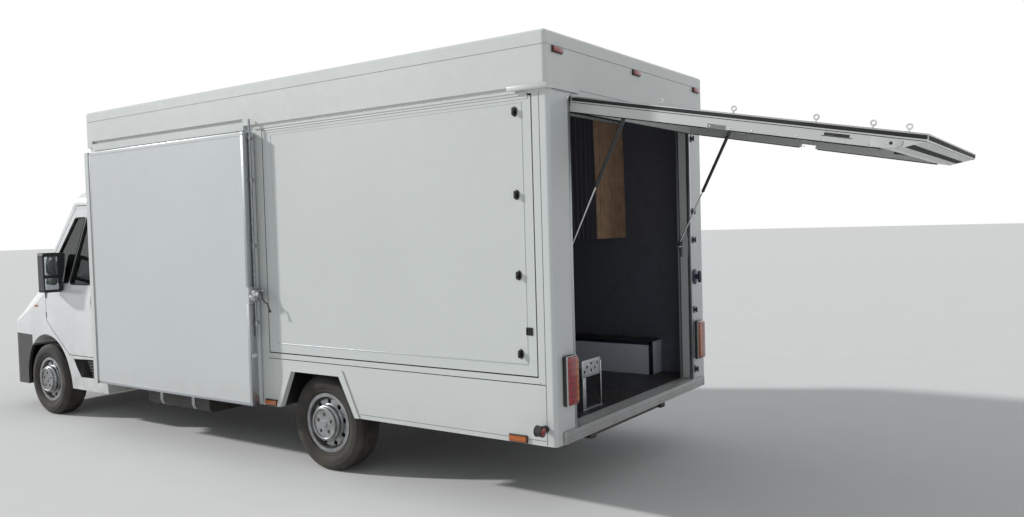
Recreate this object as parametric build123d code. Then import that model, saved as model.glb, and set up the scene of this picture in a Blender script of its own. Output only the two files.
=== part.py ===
from build123d import *

import math
import os

# A mobile shop: a light van's cab and chassis with a boxed sales body behind the cab.
# Millimetres. +X is the vehicle's left, +Y points to its tail and +Z is up.
# All stations are measured from the front axle on the ground, and the finished set is
# moved so that the origin lies under the middle of its bounding box.

# Running gear
WHEELBASE = 3800.0
TRACK = 1780.0
TYRE_R = 334.0
TYRE_W = 221.0
RIM_LIP_R = 207.5
RIM_HALF_W = 88.0
BEAD_R = 189.0
VENT_COUNT = 9
LUG_COUNT = 5
KINGPIN_X = 800.0
ARCH_R = 430.0
ARCH_INNER_X = 595.0
FIT = 0.3
GAP = 6.0

# Box body
BODY_HALF_W = 1069.0
BODY_FRONT = 1036.0
BODY_REAR = 5738.0
SKIRT_Z = 425.0
FLOOR_Z = 500.0
COVER_T = 3.0
WALL_T = 35.0
FASCIA_OUT = 27.0
FASCIA_Z = 2440.0
FASCIA_H = 299.0
ROOF_Z = FASCIA_Z + FASCIA_H
FRONT_SLOT_Z = FASCIA_Z + 50
RAIL_DROP = 32.0
GUTTER_DROP = 22.0
CAP_H = 80.0
ROOF_T = 40.0
CORNER_R = 25.0

# Wheel arches of the box
ARCH_FOOT = (WHEELBASE - 374, WHEELBASE + 367)
ARCH_HEAD = (WHEELBASE - 247, WHEELBASE + 226)
ARCH_TOP_Z = 690.0
ARCH_TRIM_W = 42.0
ARCH_TRIM_T = 8.0
WHEELBOX_Y = (WHEELBASE - 410, WHEELBASE + 410)
WHEELBOX_X = TRACK / 2 - 150
WHEELBOX_Z = 740.0

# Stations of the service door and of the serving flap behind it, both on the left side
DOOR_Y = (1196.0, WHEELBASE - 560)
FLAP_Y = (DOOR_Y[1] + 90, BODY_REAR - 118)
FLAP_Z = (815.0, FASCIA_Z - 50)
FLAP_T = 32.0
FLAP_GAP = 8.0
HINGE_R = 5.0
RAIL_OUT = 11.0
FLAP_AXIS = (BODY_HALF_W + 3, FLAP_Z[1] + HINGE_R + FIT)

# Service door, left side, hinged at its front edge
DOOR_OUT = 100.0
DOOR_Z = (SKIRT_Z + 6, FASCIA_Z - 54)
DOOR_SKIN = 40.0
DOOR_FRAME = 60.0
POST_Y = (DOOR_Y[0] - 66, DOOR_Y[0] - 6)
DOOR_AXIS = (BODY_HALF_W + DOOR_OUT + 3, POST_Y[1] + 2)
LOCK_ROD_R = 8.0
LOCK_ROD_Z = (925.0, FASCIA_Z + 38)
LOCK_Z = 1222.0

# Tail opening, tail flap and its gas struts
JAMB_X = BODY_HALF_W - 223
POST_DEPTH = 100.0
TAIL_HALF_W = JAMB_X - 7
TAIL_AXIS = (BODY_REAR + 6, FASCIA_Z - 44)
TAIL_LENGTH = TAIL_AXIS[1] - FLOOR_Z - 6
TAIL_DEPTH = 85.0
TAIL_SKIN = 32.0
TAIL_RAIL = 35.0
TAIL_OPEN = 78.6
STRUT_X = TAIL_HALF_W - 54
STRUT_TUBE_R = 11.0
STRUT_ROD_R = 5.0
STRUT_TUBE_L = 444.0
STRUT_PIN_S = 340.0
STRUT_PIN_DEPTH = 55.0
STRUT_FOOT = (BODY_REAR - 74, 1480.0)
SILL_HALF_W = BODY_HALF_W - 69
SILL_OUT = 22.0

# Fittings inside the box
CURTAIN_Y = 5100.0
CURTAIN_RAIL_Z = FASCIA_Z + 2
CURTAIN_FOOT_Z = 1552.0
LOCKER_X = JAMB_X + 11
LOCKER_END = BODY_REAR - 342

# Cab
NOSE_Y = -948.0
CAB_REAR = 1030.0
CAB_HALF_W = 1005.0
CAB_FLOOR_Z = 600.0
CAB_SKIN = 35.0
COWL_Y = -135.0
COWL_Z = 1402.0
SCREEN_RAKE = 55.8
BUMPER_TOP = 745.0
CAB_ROOF_Z = 2215.0
CAB_DOOR = [(20, 1412), (20, 900), (420, 600), (945, 600), (945, 1965), (395, 1965)]
DOOR_REAR_GAP = 12.0
DOOR_THICK = 62.0
DOOR_FRAME_T = 34.0
BELT_Z = 1240.0
CAB_HINGE = (CAB_HALF_W - 3, 17.0)
CAB_HINGE_Z = ((925.0, 980.0), (1110.0, 1165.0))
WHEEL_CENTRE = (-490.0, 405.0, 1200.0)
WHEEL_TILT = 62.0
MIRROR_HALF_W = 1178.0


def slab(x0, x1, y0, y1, z0, z1):
    """Return the block between the given limits."""
    size = (abs(x1 - x0), abs(y1 - y0), abs(z1 - z0))
    centre = ((x0 + x1) / 2, (y0 + y1) / 2, (z0 + z1) / 2)
    return Pos(*centre) * Box(*size)


def outline(points, to_3d):
    """Return a face from plane points; a point given as (via, end) is an arc."""
    edges = []
    start = points[0]
    here = start
    for step in list(points[1:]) + [start]:
        if isinstance(step[0], tuple):
            via, end = step
            edges.append(ThreePointArc(to_3d(*here), to_3d(*via), to_3d(*end)))
        else:
            end = step
            if math.dist(here, end) < 1e-6:
                continue
            edges.append(Line(to_3d(*here), to_3d(*end)))
        here = end
    return make_face(edges)


def side_prism(points, x0, x1):
    """Extrude an outline drawn in (y, z) from x0 to x1."""
    face = outline(points, lambda y, z: (x0, y, z))
    return extrude(face, amount=x1 - x0, dir=(1, 0, 0))


def plan_prism(points, z0, z1):
    """Extrude an outline drawn in (x, y) from z0 to z1."""
    face = outline(points, lambda x, y: (x, y, z0))
    return extrude(face, amount=z1 - z0, dir=(0, 0, 1))


def front_prism(points, y0, y1):
    """Extrude an outline drawn in (x, z) from y0 to y1."""
    face = outline(points, lambda x, z: (x, y0, z))
    return extrude(face, amount=y1 - y0, dir=(0, 1, 0))


def rod_x(x0, x1, y, z, radius):
    """Return a round bar along x."""
    return Pos((x0 + x1) / 2, y, z) * Rot(0, 90, 0) * Cylinder(radius, abs(x1 - x0))


def rod_y(x, y0, y1, z, radius):
    """Return a round bar along y."""
    return Pos(x, (y0 + y1) / 2, z) * Rot(90, 0, 0) * Cylinder(radius, abs(y1 - y0))


def rod_z(x, y, z0, z1, radius):
    """Return a round bar along z."""
    return Pos(x, y, (z0 + z1) / 2) * Cylinder(radius, abs(z1 - z0))


def both_sides(shape):
    """Return the shape and its mirror image across the middle plane, as one compound."""
    return Compound(children=list(shape.solids()) + list(mirror(shape, about=Plane.YZ).solids()))


def right_of(shape):
    """Return the mirror image across the middle plane."""
    return mirror(shape, about=Plane.YZ)


# Wheels


def tyre(side):
    """Return one tyre on the wheel plane of the given side (+1 left)."""
    half = TYRE_W / 2
    section = [
        (-79.4, BEAD_R + FIT), (-81.6, RIM_LIP_R + 0.5),
        ((-half, 264), (-half + 22, 322)),
        ((-half + 27, 330), (-half + 36, TYRE_R - 1)),
        ((0, TYRE_R), (half - 36, TYRE_R - 1)),
        ((half - 27, 330), (half - 22, 322)),
        ((half, 264), (81.6, RIM_LIP_R + 0.5)), (79.4, BEAD_R + FIT),
    ]
    face = outline(section, lambda x, r: (x, 0, r))
    ring = revolve(face, axis=Axis.X)
    return Pos(side * TRACK / 2, 0, TYRE_R) * ring


def rim(side):
    """Return one pressed steel rim with its domed centre facing outwards."""
    lip, seat, well = RIM_LIP_R, BEAD_R, 170.0
    barrel = [
        (-RIM_HALF_W, lip), (-RIM_HALF_W + 6, lip), (-RIM_HALF_W + 8, seat), (-45, seat - 1),
        (-34, well), (22, well), (36, seat - 1), (RIM_HALF_W - 8, seat), (RIM_HALF_W - 6, lip),
        (RIM_HALF_W, lip), (RIM_HALF_W - 1, seat - 7), (40, seat - 8), (26, well - 7),
        (-38, well - 7), (-49, seat - 8), (-RIM_HALF_W + 1, seat - 7),
    ]
    dome = [
        (24, well - 6), ((48, 173), (66, 160)), (67, 134), ((70, 126), (82, 121)), (118, 114),
        ((126, 112), (127, 106)), ((126, 101), (118, 98)), (116, 26), (124, 20), (124, 0),
        (112, 0), (108, 22), (107, 96), ((112, 108), (74, 117)), (58, 133), (57, 154),
        ((42, 165), (18, well - 6.5)),
    ]
    ring = revolve(outline(barrel, lambda x, r: (x, 0, r)), axis=Axis.X)
    disc = revolve(outline(dome, lambda x, r: (x, 0, r)), axis=Axis.X)
    wheel = ring + disc
    for i in range(VENT_COUNT):
        angle = math.radians(90 + 360 / VENT_COUNT * i)
        wheel -= rod_x(40, 90, 148 * math.cos(angle), 148 * math.sin(angle), 17.5)
    for i in range(LUG_COUNT):
        angle = math.radians(90 + 360 / LUG_COUNT * i)
        wheel -= rod_x(90, 140, 65 * math.cos(angle), 65 * math.sin(angle), 13)
    if side < 0:
        wheel = mirror(wheel, about=Plane.YZ)
    return Pos(side * TRACK / 2, 0, TYRE_R) * wheel


HUB_END = 107.0 - FIT


def knuckle():
    """Return the left steering knuckle with its brake disc and hub."""
    wheel_x = TRACK / 2
    block = slab(KINGPIN_X - 25, KINGPIN_X + 35, -35, 35, 246.3, 451.7)
    disc = rod_x(wheel_x - 48, wheel_x - 26, 0, TYRE_R, 128)
    hub = rod_x(KINGPIN_X, wheel_x + HUB_END, 0, TYRE_R, 42)
    flange = rod_x(wheel_x + HUB_END - 14, wheel_x + HUB_END, 0, TYRE_R, 84)
    tie_arm = slab(KINGPIN_X - 22, KINGPIN_X, 30, 120, 300, 322)
    return block + disc + hub + flange + tie_arm


def front_suspension():
    """Return the cradle with its lower arms, and the two strut legs."""
    cradle = slab(-560, 560, -40, 110, 232, 300)
    for side in (-1, 1):
        cradle += slab(side * 300, side * 360, -640, 0, 232, 300)
        arm = plan_prism([(520, -40), (790, -32), (820, -32), (820, 32), (790, 32), (520, 110)], 226, 246)
        cradle += arm if side > 0 else right_of(arm)
    cradle += slab(-360, 360, -700, -630, 232, 300)
    leg = rod_z(722, 0, 452, TYRE_R + ARCH_R - 1, 20) + rod_z(722, 0, 700, 712, 60)
    leg += slab(700, 820, -32, 32, 452, 470)
    return Compound(children=[cradle.solid(), leg.solid(), right_of(leg).solid()])


def rear_axle():
    """Return the dead axle beam with its hub stubs."""
    wheel_x = TRACK / 2
    beam = slab(-700, 700, WHEELBASE - 36, WHEELBASE + 36, 262, 318)
    for side in (-1, 1):
        beam += slab(side * 660, side * 735, WHEELBASE - 60, WHEELBASE + 60, 262, 400)
        beam += rod_x(side * 700, side * (wheel_x + HUB_END), WHEELBASE, TYRE_R, 40)
        beam += rod_x(side * (wheel_x - 70), side * (wheel_x + 20), WHEELBASE, TYRE_R, 124)
        end = wheel_x + HUB_END
        beam += rod_x(side * (end - 14), side * end, WHEELBASE, TYRE_R, 84)
    return beam


def leaf_springs():
    """Return the two single-leaf springs with their hangers."""
    front, back = WHEELBASE - 620, WHEELBASE + 670
    leaf = outline(
        [(front, 330), ((WHEELBASE - 40, 250), (back, 330)), (back, 342), ((WHEELBASE - 40, 262), (front, 342))],
        lambda y, z: (470, y, z),
    )
    spring = extrude(leaf, amount=60, dir=(1, 0, 0))
    spring += slab(470, 530, WHEELBASE - 70, WHEELBASE + 70, 246, 262)
    for y in (front, back):
        spring += slab(478, 522, y - 20, y + 20, 325, 345)
    return both_sides(spring)


def chassis_frame():
    """Return the ladder frame under cab and box, with its front bumper beam."""
    frame = None
    for side in (-1, 1):
        rail = slab(side * 470, side * 530, -760, 5650, 345, SKIRT_Z)
        rail -= slab(side * 476, side * 535, -750, 5640, 353, SKIRT_Z - 8)
        frame = rail if frame is None else frame + rail
    for y in (1120, 2000, 3000, 4560, 5570):
        frame += slab(-476, 476, y, y + 60, 350, SKIRT_Z - 5)
    frame += slab(-620, 620, -800, -752, 345, 440)
    for side in (-1, 1):
        frame += slab(side * 300, side * 471, -30, 60, 300, 352)
    return frame


def engine_block():
    """Return the engine and gearbox as one plain block."""
    return slab(-350, 350, -620, -150, 300, 860)


def fuel_tank():
    """Return the tank slung under the floor."""
    tank = slab(560, 900, 1500, 2350, 235, SKIRT_Z)
    edges = tank.edges().filter_by(Axis.Y).group_by(Axis.Z)[0]
    return fillet(edges, 50)


def exhaust():
    """Return the pipe and silencer, hung from the crossmembers."""
    x, z = -250.0, 300.0
    pipe = rod_y(x, 125, 2900, z, 27)
    silencer = rod_y(x, 2150, 2700, z, 72)
    pipe += silencer
    pipe += Pos(x - 130, 2900, z) * Rot(0, 90, 0) * Cylinder(27, 314)
    pipe += Pos(x, 2900, z) * Sphere(27)
    for y in (1150, 2030):
        pipe += slab(x - 8, x + 8, y - 10, y + 10, z, 350)
    return pipe


# Cab


def cab_form(inset):
    """Return the whole cab form, drawn in by inset, from prisms that overlap."""
    t = inset
    w = CAB_HALF_W - t
    slope = (COWL_Z - 985.0) / (COWL_Y - NOSE_Y - 150)
    brow_z = 985 - t * 0.4 + slope * (COWL_Y - NOSE_Y - 150 - t)
    nose = [
        (NOSE_Y + 26 + t, 240 + t), (NOSE_Y + t, 300 + t), (NOSE_Y + t, 640),
        ((NOSE_Y + 34 + t, 838 - t * 0.2), (NOSE_Y + 150 + t, 985 - t * 0.4)),
        (COWL_Y, brow_z),
        (CAB_REAR - t, COWL_Z + 40), (CAB_REAR - t, 285 + t), (430, 285 + t),
    ]
    plan = [
        (-620, -912 + t), ((0, NOSE_Y + t), (620, -912 + t)),
        ((868 - t * 0.7, -812 + t * 0.7), (958 - t, -590)), (985 - t, -320), (1040 - t, 890),
        (1050 - t, CAB_REAR + 60), (-1050 + t, CAB_REAR + 60), (-1040 + t, 890), (-985 + t, -320),
        (-958 + t, -590), ((-868 + t * 0.7, -812 + t * 0.7), (-620, -912 + t)),
    ]
    front = [
        (w - 20, 200), (w, 480), (w, 850), ((w - 8, 1110), (w - 40, 1330)), (866 - t, 1935),
        ((836 - t * 0.8, 2046 - t * 0.6), (742, 2112 - t)), ((0, CAB_ROOF_Z - t), (-742, 2112 - t)),
        ((-836 + t * 0.8, 2046 - t * 0.6), (-866 + t, 1935)), (-w + 40, 1330),
        ((-w + 8, 1110), (-w, 850)), (-w, 480), (-w + 20, 200),
    ]
    s = w + 15
    shoulder = [
        (s, -1500), (s, 880), ((w - 32, 1140), (880 - t * 0.6, 1290 - t * 0.8)),
        ((0, COWL_Z + 34 - t), (-880 + t * 0.6, 1290 - t * 0.8)), ((-w + 32, 1140), (-s, 880)), (-s, -1500),
    ]
    roof = [
        (-500, 1200), (-500, 1900), (250, 2095 - t), ((620, 2205 - t), (CAB_REAR - t, 2262 - t)),
        (CAB_REAR - t, 1200),
    ]
    body = side_prism(nose, -1100, 1100)
    # The shoulder outline is drawn at the cowl and slid along the slope of the bonnet.
    rise = Vector(0, 1, slope)
    face = outline(shoulder, lambda x, z: (x, COWL_Y - 900, z - 900 * slope))
    hull = extrude(face, amount=2200 * rise.length, dir=rise)
    # The windscreen is a shallow plan curve that slides up along the rake of the pillars.
    back = 1 / math.tan(math.radians(SCREEN_RAKE))
    lean = Vector(0, back, 1)
    curve = [
        (-1045, -7 + t * 1.2), ((0, -190 + t * 1.2), (1045, -7 + t * 1.2)), (1300, 1900), (-1300, 1900),
    ]
    face = outline(curve, lambda x, y: (x, y - 400 * back, 985))
    wedge = extrude(face, amount=1300 * lean.length, dir=lean)
    house = side_prism(roof, -1100, 1100) & wedge
    form = (body & hull) + house
    return form & front_prism(front, -1000, 1100) & plan_prism(plan, 200, 2400)


def inner_cabin(inset):
    """Return the hollow of the cabin behind the bulkhead."""
    room = [
        (40, CAB_FLOOR_Z), (40, 1250), (-60, 1330), (-300, 1420), (-300, 2300), (1100, 2300), (1100, CAB_FLOOR_Z),
    ]
    return cab_form(inset) & side_prism(room, -1100, 1100)


def grow(points, by):
    """Return convex-ish outline points pushed away from their middle by a gap."""
    cx = sum(p[0] for p in points) / len(points)
    cy = sum(p[1] for p in points) / len(points)
    grown = []
    n = len(points)
    for i in range(n):
        prev, here, after = points[i - 1], points[i], points[(i + 1) % n]
        lines = []
        for a, b in ((prev, here), (here, after)):
            dx, dy = b[0] - a[0], b[1] - a[1]
            length = math.hypot(dx, dy)
            nx, ny = dy / length, -dx / length
            if nx * (cx - a[0]) + ny * (cy - a[1]) > 0:
                nx, ny = -nx, -ny
            lines.append((nx, ny, nx * a[0] + ny * a[1] + by))
        (a1, b1, c1), (a2, b2, c2) = lines
        det = a1 * b2 - a2 * b1
        grown.append(((c1 * b2 - c2 * b1) / det, (a1 * c2 - a2 * c1) / det))
    return grown


SCREEN = [(-800, 1445), (800, 1445), (722, 2025), (-722, 2025)]
LAMP = [(520, 800), (905, 830), (945, 1080), (800, 1060), (560, 930)]
WINDOW = [(428, 1252), (790, 1252), ((846, 1272), (868, 1330)), (868, 1895), (614, 1895)]
QUARTER = [(100, 1270), (400, 1262), (566, 1850), (400, 1850), (100, 1415)]
STEP_PORT = [(490, 563), (840, 577), (851, 407), (600, 402)]


def bonnet_plan(gap=0.0):
    """Return the bonnet outline in (x, y), let out by gap."""
    g = gap
    return [
        (-690 - g, -160 + g), ((0, -236 + g), (690 + g, -160 + g)), (600 + g, -790 - g), (-600 - g, -790 - g),
    ]


def cab_parts():
    """Return the cab's shell, screen, bonnet, bumper, lamps, doors and door glass."""
    outer = cab_form(0)
    skin_in = cab_form(26)
    shell = outer - inner_cabin(CAB_SKIN)
    bay = skin_in & slab(-1000, 1000, -900, -75, 200, 1500)
    for side in (-1, 1):
        bay -= rod_x(side * (ARCH_INNER_X - 12), side * 1100, 0, TYRE_R, ARCH_R + 12)
        bay -= slab(side * (ARCH_INNER_X - 12), side * 1100, -ARCH_R - 12, 0, 100, TYRE_R)
    shell -= bay
    shell -= slab(-560, 560, -900, -74, 200, 400)
    shell -= slab(-455, 455, -76, CAB_REAR + 5, 200, CAB_FLOOR_Z - 40)
    shell -= slab(-568, 568, -80, 118, 200, 308)
    for side in (-1, 1):
        shell -= slab(side * 545, side * 880, 470, CAB_REAR - 60, 200, CAB_FLOOR_Z - 40)
        shell -= slab(side * 454, side * 546, -80, CAB_REAR + 5, 200, SKIRT_Z)
        shell -= rod_x(side * ARCH_INNER_X, side * 1100, 0, TYRE_R, ARCH_R)
        shell -= slab(side * ARCH_INNER_X, side * 1100, -ARCH_R, ARCH_R, 100, TYRE_R)
        shell -= side_prism(STEP_PORT, min(side * 892, side * 1100), max(side * 892, side * 1100))
    bumper_box = slab(-1100, 1100, NOSE_Y - 50, -300, 200, BUMPER_TOP)
    bumper = (outer & bumper_box) - (skin_in & bumper_box)
    for side in (-1, 1):
        bumper -= rod_x(side * 500, side * 1100, 0, TYRE_R, ARCH_R)
        bumper -= slab(side * 500, side * 1100, -ARCH_R, ARCH_R, 100, TYRE_R)
    bumper -= slab(-560, 560, NOSE_Y + 90, -290, 200, 330)
    bumper -= slab(-430, 430, NOSE_Y - 60, NOSE_Y + 70, 390, 560)
    for z in (420, 462, 504):
        bumper += slab(-436, 436, NOSE_Y + 32, NOSE_Y + 52, z, z + 14)
    shell -= bumper_box
    lamp = (outer & front_prism(LAMP, -1000, -500)) - (skin_in & front_prism(LAMP, -1000, -500))
    lamp -= bumper_box
    lamp -= plan_prism(bonnet_plan(GAP), 900, 1500)
    shell -= front_prism(LAMP, -1000, -500)
    shell -= right_of(front_prism(LAMP, -1000, -500))
    # Grille mouth between the lamps, with its bars
    mouth = slab(-470, 470, NOSE_Y - 60, -700, 790, 900)
    grille = (skin_in & mouth) - (cab_form(44) & mouth)
    for z in (806, 834, 862):
        grille -= slab(-450, 450, NOSE_Y - 60, -700, z, z + 16)
    shell -= mouth
    # Bonnet and its opening
    bonnet = (outer - skin_in) & plan_prism(bonnet_plan(), 900, 1500)
    shell -= plan_prism(bonnet_plan(GAP), 900, 1500)
    # Windscreen
    glass_out = cab_form(6)
    glass_in = cab_form(14)
    frame_cut = front_prism(SCREEN, -400, 560)
    screen = (glass_out - glass_in) & frame_cut
    shell -= frame_cut
    # Doors
    door_hole = side_prism(grow(CAB_DOOR, GAP), 700, 1100)
    door_hole += slab(700, 1100, 900, 945 + DOOR_REAR_GAP, CAB_FLOOR_Z - GAP, 1965 + GAP)
    shell -= door_hole
    shell -= right_of(door_hole)
    door = (outer - cab_form(DOOR_THICK)) & side_prism(CAB_DOOR, 700, 1100)
    door -= cab_form(DOOR_FRAME_T) & slab(0, 1100, 0, 1100, BELT_Z, 2300)
    hinge_x, hinge_y = CAB_HINGE
    for z0, z1 in CAB_HINGE_Z:
        hinge = slab(hinge_x - 18, hinge_x, hinge_y - 8, hinge_y - 1, z0, z1)
        hinge += rod_z(hinge_x, hinge_y, z0, z1, HINGE_R)
        shell += hinge
        shell += right_of(hinge)
        door -= rod_z(hinge_x, hinge_y, z0 - 2, z1 + 2, HINGE_R + FIT)
    panes = None
    layer = cab_form(12) - cab_form(18)
    for shape in (WINDOW, QUARTER):
        hole = side_prism(shape, 700, 1100)
        pane = layer & hole
        panes = pane if panes is None else panes + pane
        door -= hole
    return dict(shell=shell, bumper=bumper, lamp=lamp, grille=grille, bonnet=bonnet, screen=screen,
                door=door, panes=panes)


def mirror_head():
    """Return the left door mirror: two stubby arms and a tall housing with a glass recess."""
    y0, y1 = 205.0, 352.0
    m = MIRROR_HALF_W
    plan = [(m - 238, y0 + 30), (m - 178, y0 + 8), ((m - 58, y0), (m, y0 + 60)), (m, y1), (m - 238, y1)]
    face = [
        (m - 160, 1178), (m - 38, 1178), ((m - 12, 1186), (m - 4, 1215)), (m, 1500),
        ((m - 8, 1532), (m - 32, 1540)), (m - 193, 1540), (m - 206, 1524), (m - 198, 1400), (m - 166, 1250),
    ]
    head = plan_prism(plan, 1100, 1600) & front_prism(face, y0 - 20, y1 + 20)
    head -= slab(m - 144, m - 16, y1 - 8, y1 + 5, 1334, 1510)
    head -= slab(m - 144, m - 16, y1 - 8, y1 + 5, 1200, 1312)
    head += slab(930, m - 138, y0 + 40, y0 + 120, 1186, 1236)
    return head - cab_form(-FIT)


def dashboard():
    """Return the dashboard with its binnacle and the steering column."""
    deck = [
        (40.3, 930), (40.3, 1240), (44, 1258), ((150, 1298), (300, 1246)), ((352, 1200), (330, 1120)), (250, 930),
    ]
    column = Pos(*WHEEL_CENTRE) * Rot(-WHEEL_TILT, 0, 0) * Pos(0, 0, -149 - FIT) * Cylinder(34, 220)
    return side_prism(deck, -860, 860) + column


def seats():
    """Return the driver's seat on the right and the double passenger seat on the left."""
    solids = []
    for x0, x1 in ((-740, -240), (-120, 760)):
        base = slab(x0 + 40, x1 - 40, 480, 860, CAB_FLOOR_Z, 850)
        cushion = slab(x0, x1, 400, 880, 850, 985)
        back = side_prism([(800, 985), (915, 985), (975, 1560), (885, 1560)], x0, x1)
        seat = base + cushion + back
        heads = [(x0 + x1) / 2] if x1 - x0 < 600 else [x0 + 210, x1 - 210]
        for x in heads:
            seat += side_prism([(895, 1550), (975, 1550), (985, 1740), (905, 1740)], x - 130, x + 130)
        solids.append(seat.solid())
    return Compound(children=solids)


def steering_wheel():
    """Return the steering wheel, lying across its tilted column."""
    ring = Torus(190, 15) + Pos(0, 0, -22) * Cylinder(46, 34)
    for angle in (0, 120, 240):
        spoke = Pos(105, 0, -12) * Box(170, 34, 12)
        ring += Rot(0, 0, angle + 90) * spoke
    return Pos(*WHEEL_CENTRE) * Rot(-WHEEL_TILT, 0, 0) * ring


# Box body


def trapezoid(grow_by=0.0):
    """Return the wheel-arch outline in (y, z), opened downwards through the skirt."""
    g = grow_by
    foot0, foot1 = ARCH_FOOT
    head0, head1 = ARCH_HEAD
    return [
        (foot0 - g, SKIRT_Z - 1), (head0 - g * 0.8, ARCH_TOP_Z + g), (head1 + g * 0.8, ARCH_TOP_Z + g),
        (foot1 + g, SKIRT_Z - 1),
    ]


def box_floor():
    """Return the floor slab with its wheel boxes."""
    inner = BODY_HALF_W - WALL_T
    y0, y1 = BODY_FRONT + WALL_T, BODY_REAR - POST_DEPTH
    base_z = FLOOR_Z - COVER_T
    floor = slab(-inner, inner, y0, y1, SKIRT_Z, base_z)
    covering = slab(-inner, inner, y0, y1, base_z - 1, FLOOR_Z)
    covering -= slab(-inner - 1, -LOCKER_X + FIT, WHEELBOX_Y[1], LOCKER_END + FIT, base_z, FLOOR_Z + 1)
    floor += covering
    w0, w1 = WHEELBOX_Y
    for side in (-1, 1):
        floor += slab(side * WHEELBOX_X, side * inner, w0, w1, FLOOR_Z - 40, WHEELBOX_Z)
        floor -= slab(side * (WHEELBOX_X + 20), side * (inner + 1), w0 + 20, w1 - 20, SKIRT_Z - 1, WHEELBOX_Z - 20)
    return floor


def side_wall():
    """Return a plain box side with its wheel arch and trim, on the left."""
    x0, x1 = BODY_HALF_W - WALL_T, BODY_HALF_W
    wall = slab(x0, x1, BODY_FRONT, BODY_REAR - POST_DEPTH, SKIRT_Z, FASCIA_Z)
    edge = wall.edges().filter_by(Axis.Z).sort_by(Axis.Y)[0:2].sort_by(Axis.X)[-1]
    wall = fillet(edge, CORNER_R)
    rim_out = side_prism(trapezoid(ARCH_TRIM_W), x1 - 1, x1 + ARCH_TRIM_T)
    wall += rim_out & slab(0, 2000, 0, 6000, SKIRT_Z, ROOF_Z)
    wall -= side_prism(trapezoid(), x0 - 5, x1 + 50)
    return wall


def left_wall():
    """Return the left side with the serving hatch, the service doorway and the front post."""
    wall = side_wall()
    y0, y1 = FLAP_Y
    z0, z1 = FLAP_Z
    g = FLAP_GAP
    inside, outside = BODY_HALF_W - 2 * WALL_T, BODY_HALF_W + WALL_T
    wall -= slab(inside, outside, y0 - g, y1 + g, z0 - g, FLAP_AXIS[1] + HINGE_R + 1)
    ridge = slab(BODY_HALF_W - 2, BODY_HALF_W + 3, y0 - g - 12, y1 + g + 34, z0 - g - 34, z0 - g - 26)
    ridge += slab(BODY_HALF_W - 2, BODY_HALF_W + 3, y1 + g + 26, y1 + g + 34, z0 - g - 34, FASCIA_Z - 60)
    wall += ridge & slab(0, 2000, 0, BODY_REAR - POST_DEPTH, 0, 3000)
    wall -= slab(inside, outside, DOOR_Y[0] + 110, DOOR_Y[1] - 90, FLOOR_Z, DOOR_Z[1] - 60)
    post = slab(BODY_HALF_W - 5, BODY_HALF_W + DOOR_OUT, *POST_Y, DOOR_Z[0] - 6, DOOR_Z[1])
    post += rod_z(*DOOR_AXIS, DOOR_Z[0] - 6, DOOR_Z[1], HINGE_R)
    return wall + post


def box_front_wall():
    """Return the wall behind the cab."""
    inner = BODY_HALF_W - WALL_T
    return slab(-inner, inner, BODY_FRONT, BODY_FRONT + WALL_T, SKIRT_Z, FASCIA_Z)


def box_roof():
    """Return the roof with its deep fascia, the cap rail and the hinge rails."""
    w = BODY_HALF_W + FASCIA_OUT
    y0, y1 = BODY_FRONT, BODY_REAR + 4
    body = slab(-w, w, y0, y1, FASCIA_Z, ROOF_Z)
    verticals = body.edges().filter_by(Axis.Z)
    body = fillet(verticals, CORNER_R)
    body = chamfer(body.faces().sort_by(Axis.Z)[-1].edges(), 14)
    inner = BODY_HALF_W - WALL_T
    body -= slab(-inner, inner, BODY_FRONT + WALL_T, BODY_REAR - 60, FASCIA_Z - 5, ROOF_Z - ROOF_T)
    seam_z = ROOF_Z - CAP_H
    groove = slab(-w - 5, w + 5, y0 - 5, y1 + 5, seam_z - 5, seam_z)
    groove -= fillet(slab(-w + 4, w - 4, y0 + 4, y1 - 4, seam_z - 6, seam_z + 1).edges().filter_by(Axis.Z), CORNER_R - 4)
    body -= groove
    for side in (-1, 1):
        x0, x1 = side * (BODY_HALF_W + FIT), side * (BODY_HALF_W + RAIL_OUT)
        body += slab(x0, x1, FLAP_Y[0] - 80, FLAP_Y[1] - 90, FASCIA_Z - RAIL_DROP, FASCIA_Z + 1)
        body += slab(x0, side * (w + 8), FLAP_Y[1] - 100, BODY_REAR + 14, FASCIA_Z - GUTTER_DROP, FASCIA_Z + 1)
        body += slab(side * (JAMB_X - 91), side * (w + 8), BODY_REAR + FIT, BODY_REAR + 14,
                     FASCIA_Z - GUTTER_DROP, FASCIA_Z + 1)
    # Dark slot and drip rail above the service door
    body -= slab(w - 22, w + 5, POST_Y[0], DOOR_Y[1] - 90, FRONT_SLOT_Z - 24, FRONT_SLOT_Z)
    body += slab(BODY_HALF_W + FIT, w + 2, POST_Y[0], DOOR_Y[1] - 80, FASCIA_Z - RAIL_DROP, FASCIA_Z + 1)
    rail_hinge = rod_y(FLAP_AXIS[0], FLAP_Y[0] + 20, FLAP_Y[1] - 20, FLAP_AXIS[1], HINGE_R)
    tongue_x = BODY_HALF_W + FIT
    rail_hinge += slab(tongue_x, tongue_x + 5, FLAP_Y[0] + 20, FLAP_Y[1] - 20, FLAP_AXIS[1], FASCIA_Z - 30)
    curtain_rail = slab(-inner - 2, inner + 2, CURTAIN_Y - 8, CURTAIN_Y + 8, CURTAIN_RAIL_Z, CURTAIN_RAIL_Z + 20)
    return body + rail_hinge + curtain_rail


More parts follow.
